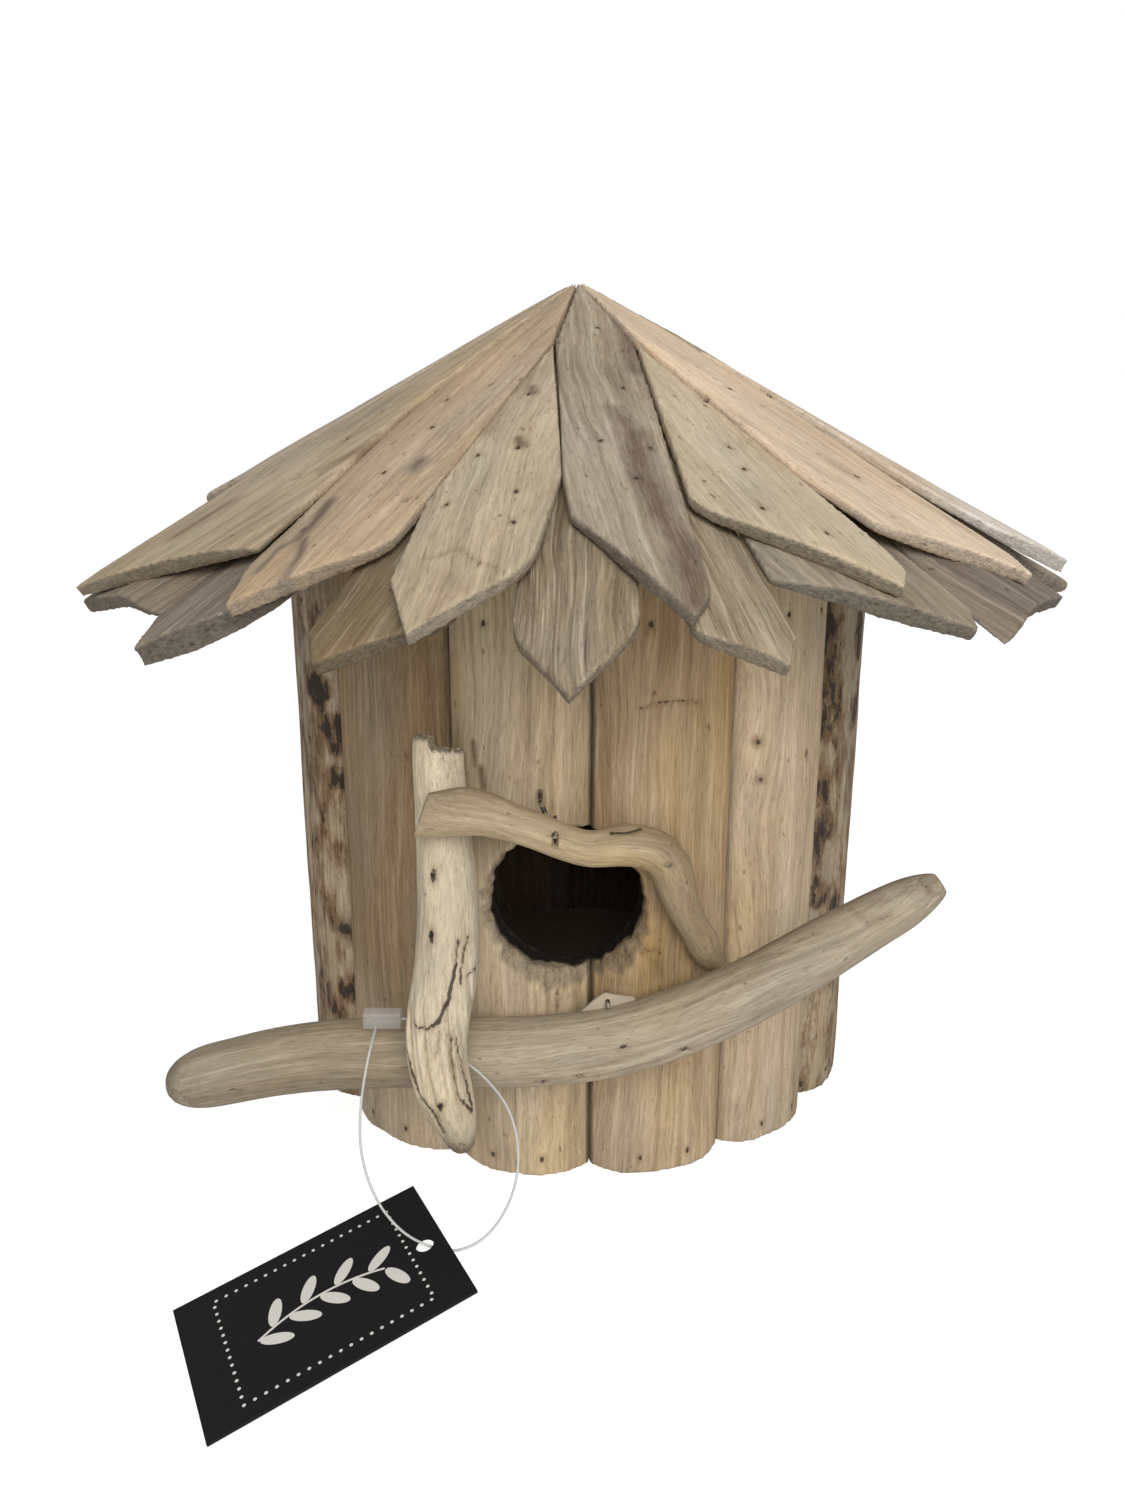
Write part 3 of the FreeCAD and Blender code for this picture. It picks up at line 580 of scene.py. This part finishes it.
class Wood:
    """A worn copy of one wooden solid. Its places, grain and marks have one row a point."""

    def __init__(self, node, fineness, wear):
        self.node = node
        self.solid = merged_copy(node)
        self.piece = bpy.data.objects.new(node + "_worn", self.solid)
        scene.collection.objects.link(self.piece)
        remesh = self.piece.modifiers.new("even_faces", "REMESH")
        remesh.mode = "VOXEL"
        remesh.voxel_size = fineness * mm * coarser
        smooth = self.piece.modifiers.new("worn_edges", "SMOOTH")
        smooth.factor = 0.5
        smooth.iterations = wear
        worn = evaluated_mesh(self.piece)
        self.piece.modifiers.clear()
        self.piece.data = worn
        self.place = millimetres(worn)
        self.normal = point_normals(worn)
        self.grain = np.zeros_like(self.place)
        self.marks = np.zeros((len(self.place), 4))
        self.shade = np.ones((len(self.place), 1))

    def mark(self, channel, amount):
        """Adds to a mark: a stain (also painted shade on inside faces), painted shade in a pit, crack or
        groove (also a knot's own dark colour), a cut or torn face, or bark.
        """
        self.marks[:, channel] = np.maximum(self.marks[:, channel], amount)

    def pits(self, heads, along, width=1.3, longer=1.3, depth=0.3):
        """Sinks the wood round the brads that are driven into it, in pits longer along the grain."""
        low, high = self.place.min(axis=0) - 1.0, self.place.max(axis=0) + 1.0
        for top, out in heads:
            if (top < low).any() or (top > high).any():
                continue
            away = self.place - top
            above = away @ out
            flat = away - above[:, None] * out
            run = flat @ np.array(along)
            radius = np.sqrt(np.maximum((flat ** 2).sum(axis=1) - run ** 2 * (1.0 - longer ** -2), 0.0))
            near = (np.abs(above) < 2.2) & (radius < 3.0 * width)
            dip = np.where(near, np.clip(1.0 - (radius / width) ** 2, 0.0, 1.0), 0.0)
            self.place -= out * (dip * depth)[:, None]
            across = np.linalg.norm(flat, axis=1) + 1e-6
            closing = np.clip(1.0 - np.abs(across - 0.9) / 1.1, 0.0, 1.0)
            closing = np.where(near & (above > -0.7), closing, 0.0)
            self.place -= flat / across[:, None] * (closing * 0.35)[:, None]
            # Painted shade in the pit round each brad; the halo below is a stain
            self.mark(hollow_shade_and_knot_mark, np.where(near, np.clip(1.3 - radius / width * 0.9, 0.0, 1.0), 0.0))
            halo = np.clip(1.0 - radius / (2.0 * width), 0.0, 1.0) * 0.35
            self.mark(stain_and_inside_shade_mark, np.where(near, halo, 0.0))

    def finish(self, slot, tone, material, swell, length, ridge, width, torn):
        """Stores what the wood shader reads, weathers the piece and puts it in the frame."""
        mesh = self.piece.data
        mesh.vertices.foreach_set("co", np.ascontiguousarray(self.place * mm, dtype=np.float32).ravel())
        store(mesh, "grain", "FLOAT_VECTOR", "vector", self.grain)
        store(mesh, "marks", "FLOAT_COLOR", "color", self.marks)
        tones = np.tile(tone, (len(self.place), 1))
        tones[:, :3] *= self.shade
        store(mesh, "tone", "FLOAT_COLOR", "color", tones)
        mesh.update()
        shape(self.piece, weather, {
            "Swell": swell * mm, "Swell Length": length, "Ridge": ridge * mm, "Ridge Width": width,
            "Torn": torn * mm, "Wood": material})
        self.piece.data.shade_smooth()
        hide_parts(self.node)
        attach(self.piece, "house")


def brad_heads(node):
    """The middle of each brad's head in a nail node, and the way that it faces."""
    skin = bmesh.new()
    skin.from_mesh(merged_copy(node))
    heads, seen = [], set()
    for start in skin.verts:
        if start in seen:
            continue
        island, waiting = [], [start]
        seen.add(start)
        while waiting:
            vertex = waiting.pop()
            island.append(vertex)
            for edge in vertex.link_edges:
                other = edge.other_vert(vertex)
                if other not in seen:
                    seen.add(other)
                    waiting.append(other)
        points = np.array([vertex.co[:] for vertex in island]) / mm
        middle = points.mean(axis=0)
        axis = np.linalg.svd(points - middle)[2][0]
        along = (points - middle) @ axis
        radius = np.linalg.norm(points - middle - along[:, None] * axis, axis=1)
        if along[radius > 0.9 * radius.max()].mean() < 0.5 * (along.min() + along.max()):
            axis, along = -axis, -along
        heads.append((middle + axis * along.max(), axis))
    skin.free()
    return heads


def curve_piece(name, route, radii, material):
    """A round strand along points, its radius changing from point to point, as a mesh."""
    curve = bpy.data.curves.new(name, "CURVE")
    curve.dimensions = "3D"
    spline = curve.splines.new("NURBS")
    spline.points.add(len(route) - 1)
    for point, place, radius in zip(spline.points, route, radii):
        point.co = (*(Vector(place) * mm), 1.0)
        point.radius = radius
    spline.order_u = 3
    spline.use_endpoint_u = True
    spline.resolution_u = 8
    line = bpy.data.objects.new(name + "_line", curve)
    scene.collection.objects.link(line)
    path = [Vector(vertex.co) for vertex in evaluated_mesh(line).vertices]
    curve.bevel_depth = mm
    curve.bevel_resolution = 4
    curve.use_fill_caps = True
    mesh = evaluated_mesh(line)
    bpy.data.objects.remove(line)
    mesh.materials.clear()
    mesh.materials.append(material)
    mesh.shade_smooth()
    piece = bpy.data.objects.new(name, mesh)
    scene.collection.objects.link(piece)
    return piece, path


# Materials
wall_wood = driftwood("wall_wood", roughness=0.84, relief=0.5)
under_wood = driftwood("under_wood", roughness=0.84, relief=0.55)
over_wood = driftwood("over_wood", roughness=0.78, relief=0.4)
perch_wood = driftwood("perch_wood", roughness=0.72, relief=0.35)
upright_wood = driftwood("upright_wood", roughness=0.8, relief=0.5)
lintel_wood = driftwood("lintel_wood", roughness=0.72, relief=0.35)
inner_wood = plain_wood("inner_wood", (0.27, 0.225, 0.15))
nail_steel = dull_steel("nail_steel")
tag_card = black_card("tag_card")
lock_plastic = clear_plastic("lock_plastic", grey=0.58, cover=0.27)
loop_nylon = clear_plastic("loop_nylon", grey=0.6, cover=0.75)
flake_wood = plain_wood("flake_wood", (0.44, 0.365, 0.27))
pale_ink = plain_ink("pale_ink")
weather = weather_group()


# The card's print
def sprig_group():
    """A leafy sprig inside a rectangle of dots, flat about the origin, in millimetres."""
    inputs = {
        "Leaves": "NodeSocketInt", "Leaf": "NodeSocketFloat", "Stem": "NodeSocketFloat",
        "Frame Width": "NodeSocketFloat", "Frame Height": "NodeSocketFloat", "Ink": "NodeSocketMaterial",
    }
    tree, make, given = node_group("sprig", inputs)
    half = given["Stem"] * 0.5
    start = make.vector(half * -1.0, given["Stem"] * -0.06)
    middle = make.vector(0.0, given["Stem"] * 0.16)
    finish = make.vector(half, given["Stem"] * -0.02)
    stem = make.node("GeometryNodeCurveQuadraticBezier", {}, {
        "Resolution": 24, "Start": start, "Middle": middle, "End": finish})[0]
    ring = make.node("GeometryNodeCurvePrimitiveCircle", {}, {"Resolution": 8, "Radius": 0.32})[0]
    stalk = make.node("GeometryNodeCurveToMesh", {}, {
        "Curve": stem, "Profile Curve": ring, "Fill Caps": True})[0]
    disc = make.node("GeometryNodeMeshCircle", {"fill_type": "NGON"}, {"Vertices": 20, "Radius": 1.0})[0]
    size = make.vector(given["Leaf"] * 0.5, given["Leaf"] * 0.19, 1.0)
    shift = make.vector(given["Leaf"] * 0.56)
    leaf = make.node("GeometryNodeTransform", {}, {
        "Geometry": disc, "Translation": shift, "Scale": size})[0]
    places = make.node("GeometryNodeResampleCurve", {}, {"Curve": stem, "Count": given["Leaves"]})[0]
    tangent = make.node("GeometryNodeInputTangent")[0]
    run, rise, _ = make.node("ShaderNodeSeparateXYZ", {}, {0: tangent})
    heading = make.node("ShaderNodeMath", {"operation": "ARCTAN2"}, {0: rise, 1: run})[0]
    index = make.node("GeometryNodeInputIndex")[0]
    odd = make.node("ShaderNodeMath", {"operation": "MODULO"}, {0: index, 1: 2.0})[0]
    turn = make.vector(0.0, 0.0, heading + (odd * 2.0 - 1.0) * 0.85)
    leaves = make.node("GeometryNodeInstanceOnPoints", {}, {
        "Points": places, "Instance": leaf, "Rotation": turn})[0]
    edge = make.node("GeometryNodeCurvePrimitiveQuadrilateral", {}, {
        "Width": given["Frame Width"], "Height": given["Frame Height"]})[0]
    beads = make.node("GeometryNodeResampleCurve", {}, {"Curve": edge, "Count": 64})[0]
    bead = make.node("GeometryNodeMeshCircle", {"fill_type": "NGON"}, {"Vertices": 10, "Radius": 0.42})[0]
    dots = make.node("GeometryNodeInstanceOnPoints", {}, {"Points": beads, "Instance": bead})[0]
    joined = make.tree.nodes.new("GeometryNodeJoinGeometry")
    for part in (stalk, leaves, dots):
        make.tree.links.new(part.socket, joined.inputs[0])
    end_group(make, Value(make, joined.outputs[0]), given["Ink"])
    return tree


def card_plane(node):
    """The middle of a card's upper face, with its long way, its short way and its upward way."""
    points = np.array([nodes[node].matrix_world @ vertex.co for vertex in nodes[node].data.vertices])
    ways = np.linalg.svd(points - points.mean(axis=0))[2]
    up = ways[2] if ways[2][2] > 0 else -ways[2]
    long = ways[0] if ways[0][0] > 0 else -ways[0]
    short = np.cross(up, long)
    spans = [(points @ way).min() + (points @ way).max() for way in (long, short)]
    middle = long * spans[0] / 2 + short * spans[1] / 2 + up * (points @ up).max()
    return middle, long, short, up


bpy.context.view_layer.update()
middle, long, short, up = card_plane("hang_tag")
card_print = bpy.data.objects.new("tag_print", bpy.data.meshes.new("tag_print"))
scene.collection.objects.link(card_print)
shape(card_print, sprig_group(), {
    "Leaves": 9, "Leaf": 8.0, "Stem": 31.0, "Frame Width": 44.0, "Frame Height": 33.0, "Ink": pale_ink})
flat = Matrix((long * mm, short * mm, up * mm * print_flatness)).transposed().to_4x4()
card_print.data.transform(Matrix.Translation(middle + up * print_lift * mm) @ flat)
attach(card_print, "tag")

# The tag's loop
strand, strand_path = curve_piece(
    "tag_loop_strand", loop_route, [loop_diameter / 2] * len(loop_route), loop_nylon)
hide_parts("tag_loop")
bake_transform(strand)

# CAD nodes that show as they are
shown = {
    "floor_disc": inner_wood, "ceiling_disc": inner_wood, "roof_hub": inner_wood, "wall_nails": nail_steel,
    "roof_nails": nail_steel, "branch_nails": nail_steel, "hang_tag": tag_card, "tag_lock": lock_plastic,
}
for name, material in shown.items():
    nodes[name].data.materials.clear()
    nodes[name].data.materials.append(material)
wall_heads, roof_heads, branch_heads = (brad_heads(n) for n in ("wall_nails", "roof_nails", "branch_nails"))


# Wall
def stave(number):
    """A wall stave: flatter faced than its solid and rounder at its corners."""
    seen = number in wall_tones
    holed = number in (2, 3)
    fineness = seen_stave_fineness if seen else rear_stave_fineness
    if holed:
        fineness = holed_stave_fineness
    wood = Wood("wall_stave_%02d" % number, fineness, 3)
    middle = wood.place.mean(axis=0)
    out = np.array([middle[0], middle[1], 0.0]) / np.hypot(middle[0], middle[1])
    side = np.array([-out[1], out[0], 0.0])
    a, r, s = wood.place @ side, wood.place @ out, wood.place[:, 2]
    half = (a.max() - a.min()) / 2.0
    u = np.abs(a - (a.max() + a.min()) / 2.0) / half
    front = smooth_step(r, r.min() + 2.0, r.min() + 6.0)
    wood.place += out * (stave_bulge * 0.8 * (u ** 2 - u ** 3) * front)[:, None]
    joint = smooth_step(u, 0.85, 1.0) * (1.0 - smooth_step(r, r.min() + 4.5, r.min() + 6.5))
    wood.place += side * (np.sign(a - (a.max() + a.min()) / 2.0) * 0.5 * joint)[:, None]
    wood.grain = np.stack([a + 57.0 * number, r, s + 83.0 * number], axis=1)
    x, z = wood.place[:, 0], wood.place[:, 2]

    def spot(centre, reach, taller):
        sideways = (a - np.array(centre) @ side) / reach
        return np.clip(1.0 - sideways ** 2 - ((z - centre[2]) / (reach * taller)) ** 2, 0.0, 1.0) * front

    # Painted shade inside the house: the inner faces get the stain mark, and further down, the rear staves'
    # inner faces are darkened more
    inside = 1.0 - smooth_step(r, r.min() + 1.0, r.min() + 4.0)
    wood.mark(stain_and_inside_shade_mark, inside)
    for route, strength in stave_scars.get(number, []):
        groove = trail(x, z + ripple(x, 6, (1.1, 1.9, 3.1)) * 0.5, route, 1.2) * front
        wood.place -= out * (groove * 0.4)[:, None]
        # Painted shade in the scar's groove
        wood.mark(hollow_shade_and_knot_mark, groove * strength)
    for *centre, size in stave_knots.get(number, []):
        wood.mark(stain_and_inside_shade_mark, spot(centre, 1.7 * size, 1.3) * 0.6)
        wood.mark(hollow_shade_and_knot_mark, spot(centre, size, 1.3) * 0.9)
    for route, width in stave_stains.get(number, []):
        wood.mark(stain_and_inside_shade_mark, trail(x, z, route, width) * front)
    for *centre, reach, taller, strength in stave_bark.get(number, []):
        patch = strength * smooth_step(spot(centre, 1.4 * reach, taller), 0.0, 0.9)
        wood.mark(bark_mark, np.maximum(0.5, patch))
    foot = 1.0 - smooth_step(z, 15.0, 65.0)
    wood.shade = 1.0 + foot[:, None] * np.array(stave_feet.get(number, (0.0, 0.0, 0.0)))
    if seen:
        # Painted shade in the gaps between staves: their side edges seen from the front are darkened, most
        # at the joint of the second and third
        dark = np.where(np.abs(x - 2.0) < 9.0, 0.75, 0.4)
        wood.shade *= 1.0 - (dark * smooth_step(u, 0.97, 1.0) * front)[:, None]
    else:
        # Painted shade on the rear staves' inner faces
        wood.shade *= 1.0 - 0.4 * inside[:, None]
    if not seen and number % 3 == 0:
        wood.mark(bark_mark, 0.2 + 0.4 * smooth_step(np.sin(s * 0.05 + number), 0.2, 1.0) * u)
    if holed:
        tear_entrance(wood)
    wood.pits(wall_heads, (0.0, 0.0, 1.0))
    tone = wall_tones.get(number, rear_wall_tones[number % len(rear_wall_tones)])
    wood.finish("wall_wood", tone, wall_wood, swell=1.3, length=18.0, ridge=0.4, width=3.0, torn=1.5)


def tear_entrance(wood):
    """Tears the wood round the entrance's rim, most of all below it."""
    x, y, z = wood.place.T
    angle = np.arctan2(z - entrance_height, x - entrance_across)
    radius = np.hypot(z - entrance_height, x - entrance_across)
    width = np.interp(np.degrees(angle) % 360.0, torn_angles, torn_widths)
    width = width * (1.0 + 0.7 * ripple(angle, 5, (5, 9, 13, 22, 31)))
    front = smooth_step(y, -76.0, -81.0)
    torn = np.clip((entrance_radius + width - radius) / 1.8, 0.0, 1.0) * front
    # The entrance's bore is painted near black as painted shade inside the hole; the torn band is made a
    # little darker
    bore = np.clip((entrance_radius + 0.7 - radius) / 0.4, 0.0, 1.0)
    deep = smooth_step(y + ripple(angle, 9, (4, 7, 11, 19)), -86.6, -85.0)
    wood.shade *= (1.0 - 0.95 * bore * deep - 0.12 * torn * (1.0 - bore * deep))[:, None]
    inner = np.clip(1.0 - (radius - entrance_radius) / np.maximum(width, 0.5), 0.0, 1.0)
    wood.place[:, 1] += torn * (0.3 + 2.4 * inner)
    away = np.stack([x - entrance_across, np.zeros_like(x), z - entrance_height], axis=1) / radius[:, None]
    rim = np.clip(1.0 - np.abs(radius - entrance_radius) / 3.0, 0.0, 1.0) * front
    wood.place += away * (rim * ripple(angle, 8, (3, 5, 8, 13, 21, 34)) * 1.5)[:, None]
    wood.mark(cut_mark, torn)


for number in range(1, stave_count + 1):
    stave(number)


# Roof
def board(layer, number, tone, material, stains, grooves, thicker, droop):
    """A roof board, crowned across its width and rough at its cut end."""
    fineness = seen_board_fineness if number <= seen_boards else rear_board_fineness
    wood = Wood("%s_board_%02d" % (layer, number), fineness, 2)
    lift = faces_towards(wood.solid, (0.0, 0.0, 1.0))
    out = np.array([lift[0], lift[1], 0.0]) / np.hypot(lift[0], lift[1])
    along = out - lift * (out @ lift)
    along /= np.linalg.norm(along)
    side = np.array([-out[1], out[0], 0.0])
    a, b, s = wood.place @ side, wood.place @ lift, wood.place @ along
    reach = wood.place @ out
    far = reach.max()
    top = smooth_step(b, b.max() - 3.5, b.max() - 1.0)
    half = (a.max() - a.min()) / 2.0
    u = (a - (a.max() + a.min()) / 2.0) / half
    wood.place += lift * (top * (0.7 - 1.5 * u ** 2))[:, None]
    end = smooth_step(reach, far - 45.0, far - 15.0)
    wood.place -= lift * ((1.0 - top) * end * thicker * (1.0 - np.abs(u) ** 1.5))[:, None]
    hang = smooth_step(u * np.sign(droop), 0.3, 0.95) * smooth_step(reach, 90.0, 115.0)
    wood.place[:, 2] -= hang * abs(droop)
    layer_start = 0 if layer == "under" else 500
    wood.grain = np.stack([a + 41.0 * number, b * 1.5, s + 67.0 * number + layer_start], axis=1)
    edge = np.clip((0.8 - np.abs(wood.normal @ lift)) / 0.5, 0.0, 1.0)
    cut = edge * smooth_step(reach, far - 45.0, far - 25.0)
    wood.mark(cut_mark, cut)
    wood.shade = wood.shade * (1.0 - (1.0 - cut_shades[layer].get(number, 1.0)) * cut)[:, None]
    if layer == "under":
        # Painted shadow of the over boards: an under board is darker where the boards above cover it and a
        # little paler at its end
        covered = np.interp(reach, (far - 55.0, far - 25.0, far - 8.0), (0.75, 1.0, 1.06))
        wood.shade = wood.shade * covered[:, None]
    elif number in over_shorter:
        drawn_back = over_shorter[number] * smooth_step(reach, far - 40.0, far)
        wood.place -= along * drawn_back[:, None]
    for route, width, strength in stains:
        wood.mark(stain_and_inside_shade_mark, trail(reach, a, route, width) * strength)
    for route in grooves:
        groove = trail(reach + ripple(a, 7, (0.8, 1.7, 2.9)) * 0.5, a, route, 1.5) * top
        wood.place -= lift * (groove * 0.3)[:, None]
        # Painted shade in the groove
        wood.mark(hollow_shade_and_knot_mark, groove * 0.7)
    if layer == "over" and number in over_stain_tints:
        wood.shade = wood.shade * (1.0 + wood.marks[:, :1] * np.array(over_stain_tints[number]))
    wood.pits(roof_heads, along)
    if layer == "over" and number in over_fades:
        upper = 1.0 - smooth_step(reach, 95.0, 120.0)
        wood.shade = wood.shade * (1.0 + upper[:, None] * (np.array(over_fades[number]) - 1.0))
    wood.finish(layer + "_wood", tone, material, swell=1.2, length=22.0, ridge=0.3, width=2.5, torn=0.25)


for number in range(1, board_count + 1):
    over, under = rear_over_tones[number % 3], rear_under_tones[number % 3]
    if number <= seen_boards:
        over, under = over_tones[number - 1], under_tones[number - 1]
    thicker, droop = under_ends.get(number, 0.0), under_droops.get(number, 0.0)
    board("under", number, under, under_wood, [], [], thicker, droop)
    stains, grooves = over_stains.get(number, []), over_grooves.get(number, [])
    board("over", number, over, over_wood, stains, grooves, 0.0, 0.0)


# Branches
def branch(node, direction, fineness):
    """A worn branch with its grain running along its own bent middle."""
    wood = Wood(node, fineness, 3)
    direction = np.array(direction) / np.linalg.norm(direction)
    t = wood.place @ direction
    bins = np.linspace(t.min(), t.max(), 28)
    which = np.clip(np.digitize(t, bins) - 1, 0, len(bins) - 2)
    middles = np.array([wood.place[which == i].mean(axis=0) for i in range(len(bins) - 1)])
    steps = middles @ direction
    runs = np.concatenate([[0.0], np.cumsum(np.linalg.norm(np.diff(middles, axis=0), axis=1))])
    centre = np.stack([np.interp(t, steps, middles[:, i]) for i in range(3)], axis=1)
    away = wood.place - centre
    first = np.cross(direction, (0.0, 1.0, 0.0))
    first /= np.linalg.norm(first)
    wood.grain = np.stack([away @ first, away[:, 1], np.interp(t, steps, runs)], axis=1)
    return wood


def crack(wood, routes, width, depth):
    """Cracks seen from the front, cut into the near side of a branch."""
    near = smooth_step(-wood.normal[:, 1], 0.0, 0.35)
    x, z = wood.place[:, 0] + ripple(wood.place[:, 2], 4, (0.9, 1.7, 2.9)) * 0.3, wood.place[:, 2].copy()
    for route, strength in routes:
        wood.place[:, 1] += trail(x, z, route, width) * near * depth * strength
        # Painted shade in the crack, wider than the cut itself
        wood.mark(hollow_shade_and_knot_mark, trail(x, z, route, 1.8 * width) * near * strength)


perch = branch("perch_branch", direction=(1.0, 0.0, 0.25), fineness=0.65)
crack(perch, perch_cracks, width=0.8, depth=0.3)
perch.pits(branch_heads, (0.97, 0.0, 0.24), width=1.1, longer=1.7)
perch.shade = np.interp(perch.place[:, :1], *perch_shades)
perch.mark(cut_mark, smooth_step(perch.place[:, 0], -103.0, -107.0) * 0.7)
perch.grain[:, 2] += perch_grain_start
perch.finish("perch_wood", perch_tone, perch_wood, swell=1.0, length=14.0, ridge=0.25, width=3.0, torn=1.0)

upright = branch("upright_branch", direction=(0.0, 0.0, -1.0), fineness=0.5)
crack(upright, upright_cracks, width=0.85, depth=0.6)
split = ball(upright.place, (-26.0, -119.0, 58.0), 24.0) * smooth_step(-upright.normal[:, 1], -0.2, 0.3)
slant = upright.place[:, 0] + 0.1 * upright.place[:, 2]
furrow = ripple(slant, 12, (2.2, 3.4, 4.7))
upright.place[:, 1] += split * 2.0 * furrow
# Painted shade in the recessed furrows of the split
upright.mark(hollow_shade_and_knot_mark, split * smooth_step(furrow, 0.2, 0.6) * 0.7)
# Includes painted light on the upright's top, against the roof's shadow
upright.shade = np.interp(upright.place[:, 2:], *upright_shades)
drop_x, drop_z = zip(*upright_top)
tip = smooth_step(upright.place[:, 2], 114.0, 125.0)
drop = np.interp(upright.place[:, 0], drop_x, drop_z)
drop += ripple(upright.place[:, 0] + upright.place[:, 1], 3, (1.3, 2.1, 3.7))
upright.place[:, 2] -= tip * drop
upright.mark(cut_mark, smooth_step(upright.normal[:, 2], 0.3, 0.8) * tip)
upright.mark(cut_mark, 0.35 * ball(upright.place, (-26.0, -119.0, 60.0), 15.0))
upright.mark(stain_and_inside_shade_mark, 0.8 * smooth_step(upright.place[:, 2], 36.0, 26.0))
upright.pits(branch_heads, (0.0, 0.0, 1.0), width=1.4, longer=1.7, depth=0.5)
upright.grain[:, 2] += upright_grain_start
upright.finish(
    "upright_wood", upright_tone, upright_wood, swell=1.1, length=11.0, ridge=0.7, width=2.2, torn=2.4)

lintel = branch("lintel_branch", direction=(1.0, 0.0, -0.8), fineness=0.5)
sag = smooth_step(lintel.place[:, 0], -30.0, -14.0) * smooth_step(lintel.place[:, 0], 13.0, 0.0)
lintel.place[:, 2] -= sag * (1.0 + 1.6 * smooth_step(lintel.normal[:, 2], -0.3, 0.8))
crack(lintel, lintel_cracks, width=0.5, depth=0.5)
# Painted light in the lintel's middle and painted shade on its right arm
lintel.shade = np.interp(lintel.place[:, :1], *lintel_shades)
end = smooth_step(lintel.place[:, 0], -33.0, -39.0)
cut_plane = lintel_end[0] + (lintel.place[:, 2] - lintel_end[1]) * lintel_end[2]
longer = lintel.place[:, 0] - 2.2 * end
lintel.mark(cut_mark, np.clip((cut_plane - longer) / 0.5, 0.0, 1.0) * 0.8)
lintel.place[:, 0] = np.maximum(longer, cut_plane)
run = lintel.grain[:, 2]
lintel.place += lintel.normal * (1.3 * smooth_step(run, run.max() - 16.0, run.max() - 4.0))[:, None]
lintel.pits(branch_heads, (1.0, 0.0, 0.0), width=1.0, longer=1.8)
lintel.grain[:, 2] += lintel_grain_start
lintel.finish(
    "lintel_wood", lintel_tone, lintel_wood, swell=0.7, length=9.0, ridge=0.2, width=2.0, torn=1.0)


# Small loose things: a flake of wood behind the perch and two brads bent over
def flake(name, outline, front, thickness, material):
    """A flat sliver of wood that stands facing the front, thinner at its top."""
    skin = bmesh.new()
    near = [skin.verts.new((x * mm, front * mm, z * mm)) for x, z in outline]
    face = skin.faces.new(near)
    grown = bmesh.ops.extrude_face_region(skin, geom=[face])["geom"]
    for vertex in (part for part in grown if isinstance(part, bmesh.types.BMVert)):
        vertex.co.y += thickness * mm
        vertex.co.z -= 0.3 * thickness * mm
    bmesh.ops.recalc_face_normals(skin, faces=skin.faces)
    bmesh.ops.bevel(skin, geom=skin.edges[:], offset=0.25 * mm, segments=2, affect="EDGES")
    mesh = bpy.data.meshes.new(name)
    skin.to_mesh(mesh)
    skin.free()
    mesh.materials.append(material)
    piece = bpy.data.objects.new(name, mesh)
    scene.collection.objects.link(piece)
    return piece


perch_flake = flake("perch_flake", flake_outline, flake_front, flake_thickness, flake_wood)
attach(perch_flake, "house")
for name, route in (("lintel_bent_brad", bent_brad_route), ("flake_bent_brad", flake_brad_route)):
    bent_brad, _ = curve_piece(name, route, [bent_brad_radius] * len(route), nail_steel)
    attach(bent_brad, "house")


# Floor, white surroundings and soft light
def pale_floor(name):
    """A pale floor that keeps the object's shadow and is white to the camera elsewhere."""
    material, make = new_material(name)
    seen = make.node("ShaderNodeLightPath")[0]
    matte = make.node("ShaderNodeBsdfDiffuse", {}, {"Color": (0.86, 0.86, 0.86, 1.0)})[0]
    glow = make.node("ShaderNodeEmission", {}, {"Color": (1.0, 1.0, 1.0, 1.0), "Strength": 1.42})[0]
    both = make.node("ShaderNodeMixShader", {}, {0: seen * 0.6, 1: matte, 2: glow})[0]
    make.node("ShaderNodeOutputMaterial", {}, {"Surface": both})
    return material


floor_mesh = bpy.data.meshes.new("floor")
floor_mesh.from_pydata([(-4, -4, 0), (4, -4, 0), (4, 4, 0), (-4, 4, 0)], [], [(0, 1, 2, 3)])
floor_mesh.materials.append(pale_floor("pale_floor"))
floor = bpy.data.objects.new("floor", floor_mesh)
scene.collection.objects.link(floor)

world = bpy.data.worlds.new("studio")
scene.world = world
world.use_nodes = True
make = Maker(world.node_tree)
ray = make.node("ShaderNodeLightPath")
bright = make.node("ShaderNodeMath", {"operation": "MAXIMUM"}, {0: ray[0], 1: 0.45})[0]
back = make.node("ShaderNodeBackground", {}, {"Color": (1.0, 1.0, 1.0, 1.0), "Strength": bright})[0]
make.node("ShaderNodeOutputWorld", {}, {"Surface": back})


def soft_light(name, place, aim, size, power):
    lamp = bpy.data.lights.new(name, "AREA")
    lamp.shape = "DISK"
    lamp.size = size
    lamp.energy = power
    light = bpy.data.objects.new(name, lamp)
    light.location = place
    light.rotation_euler = (Vector(aim) - Vector(place)).to_track_quat("-Z", "Y").to_euler()
    scene.collection.objects.link(light)
    return light


key = soft_light("key_light", place=(0.2, -1.15, 0.78), aim=(0.0, 0.0, 0.1), size=1.0, power=14.0)
scene.view_settings.view_transform = "Standard"
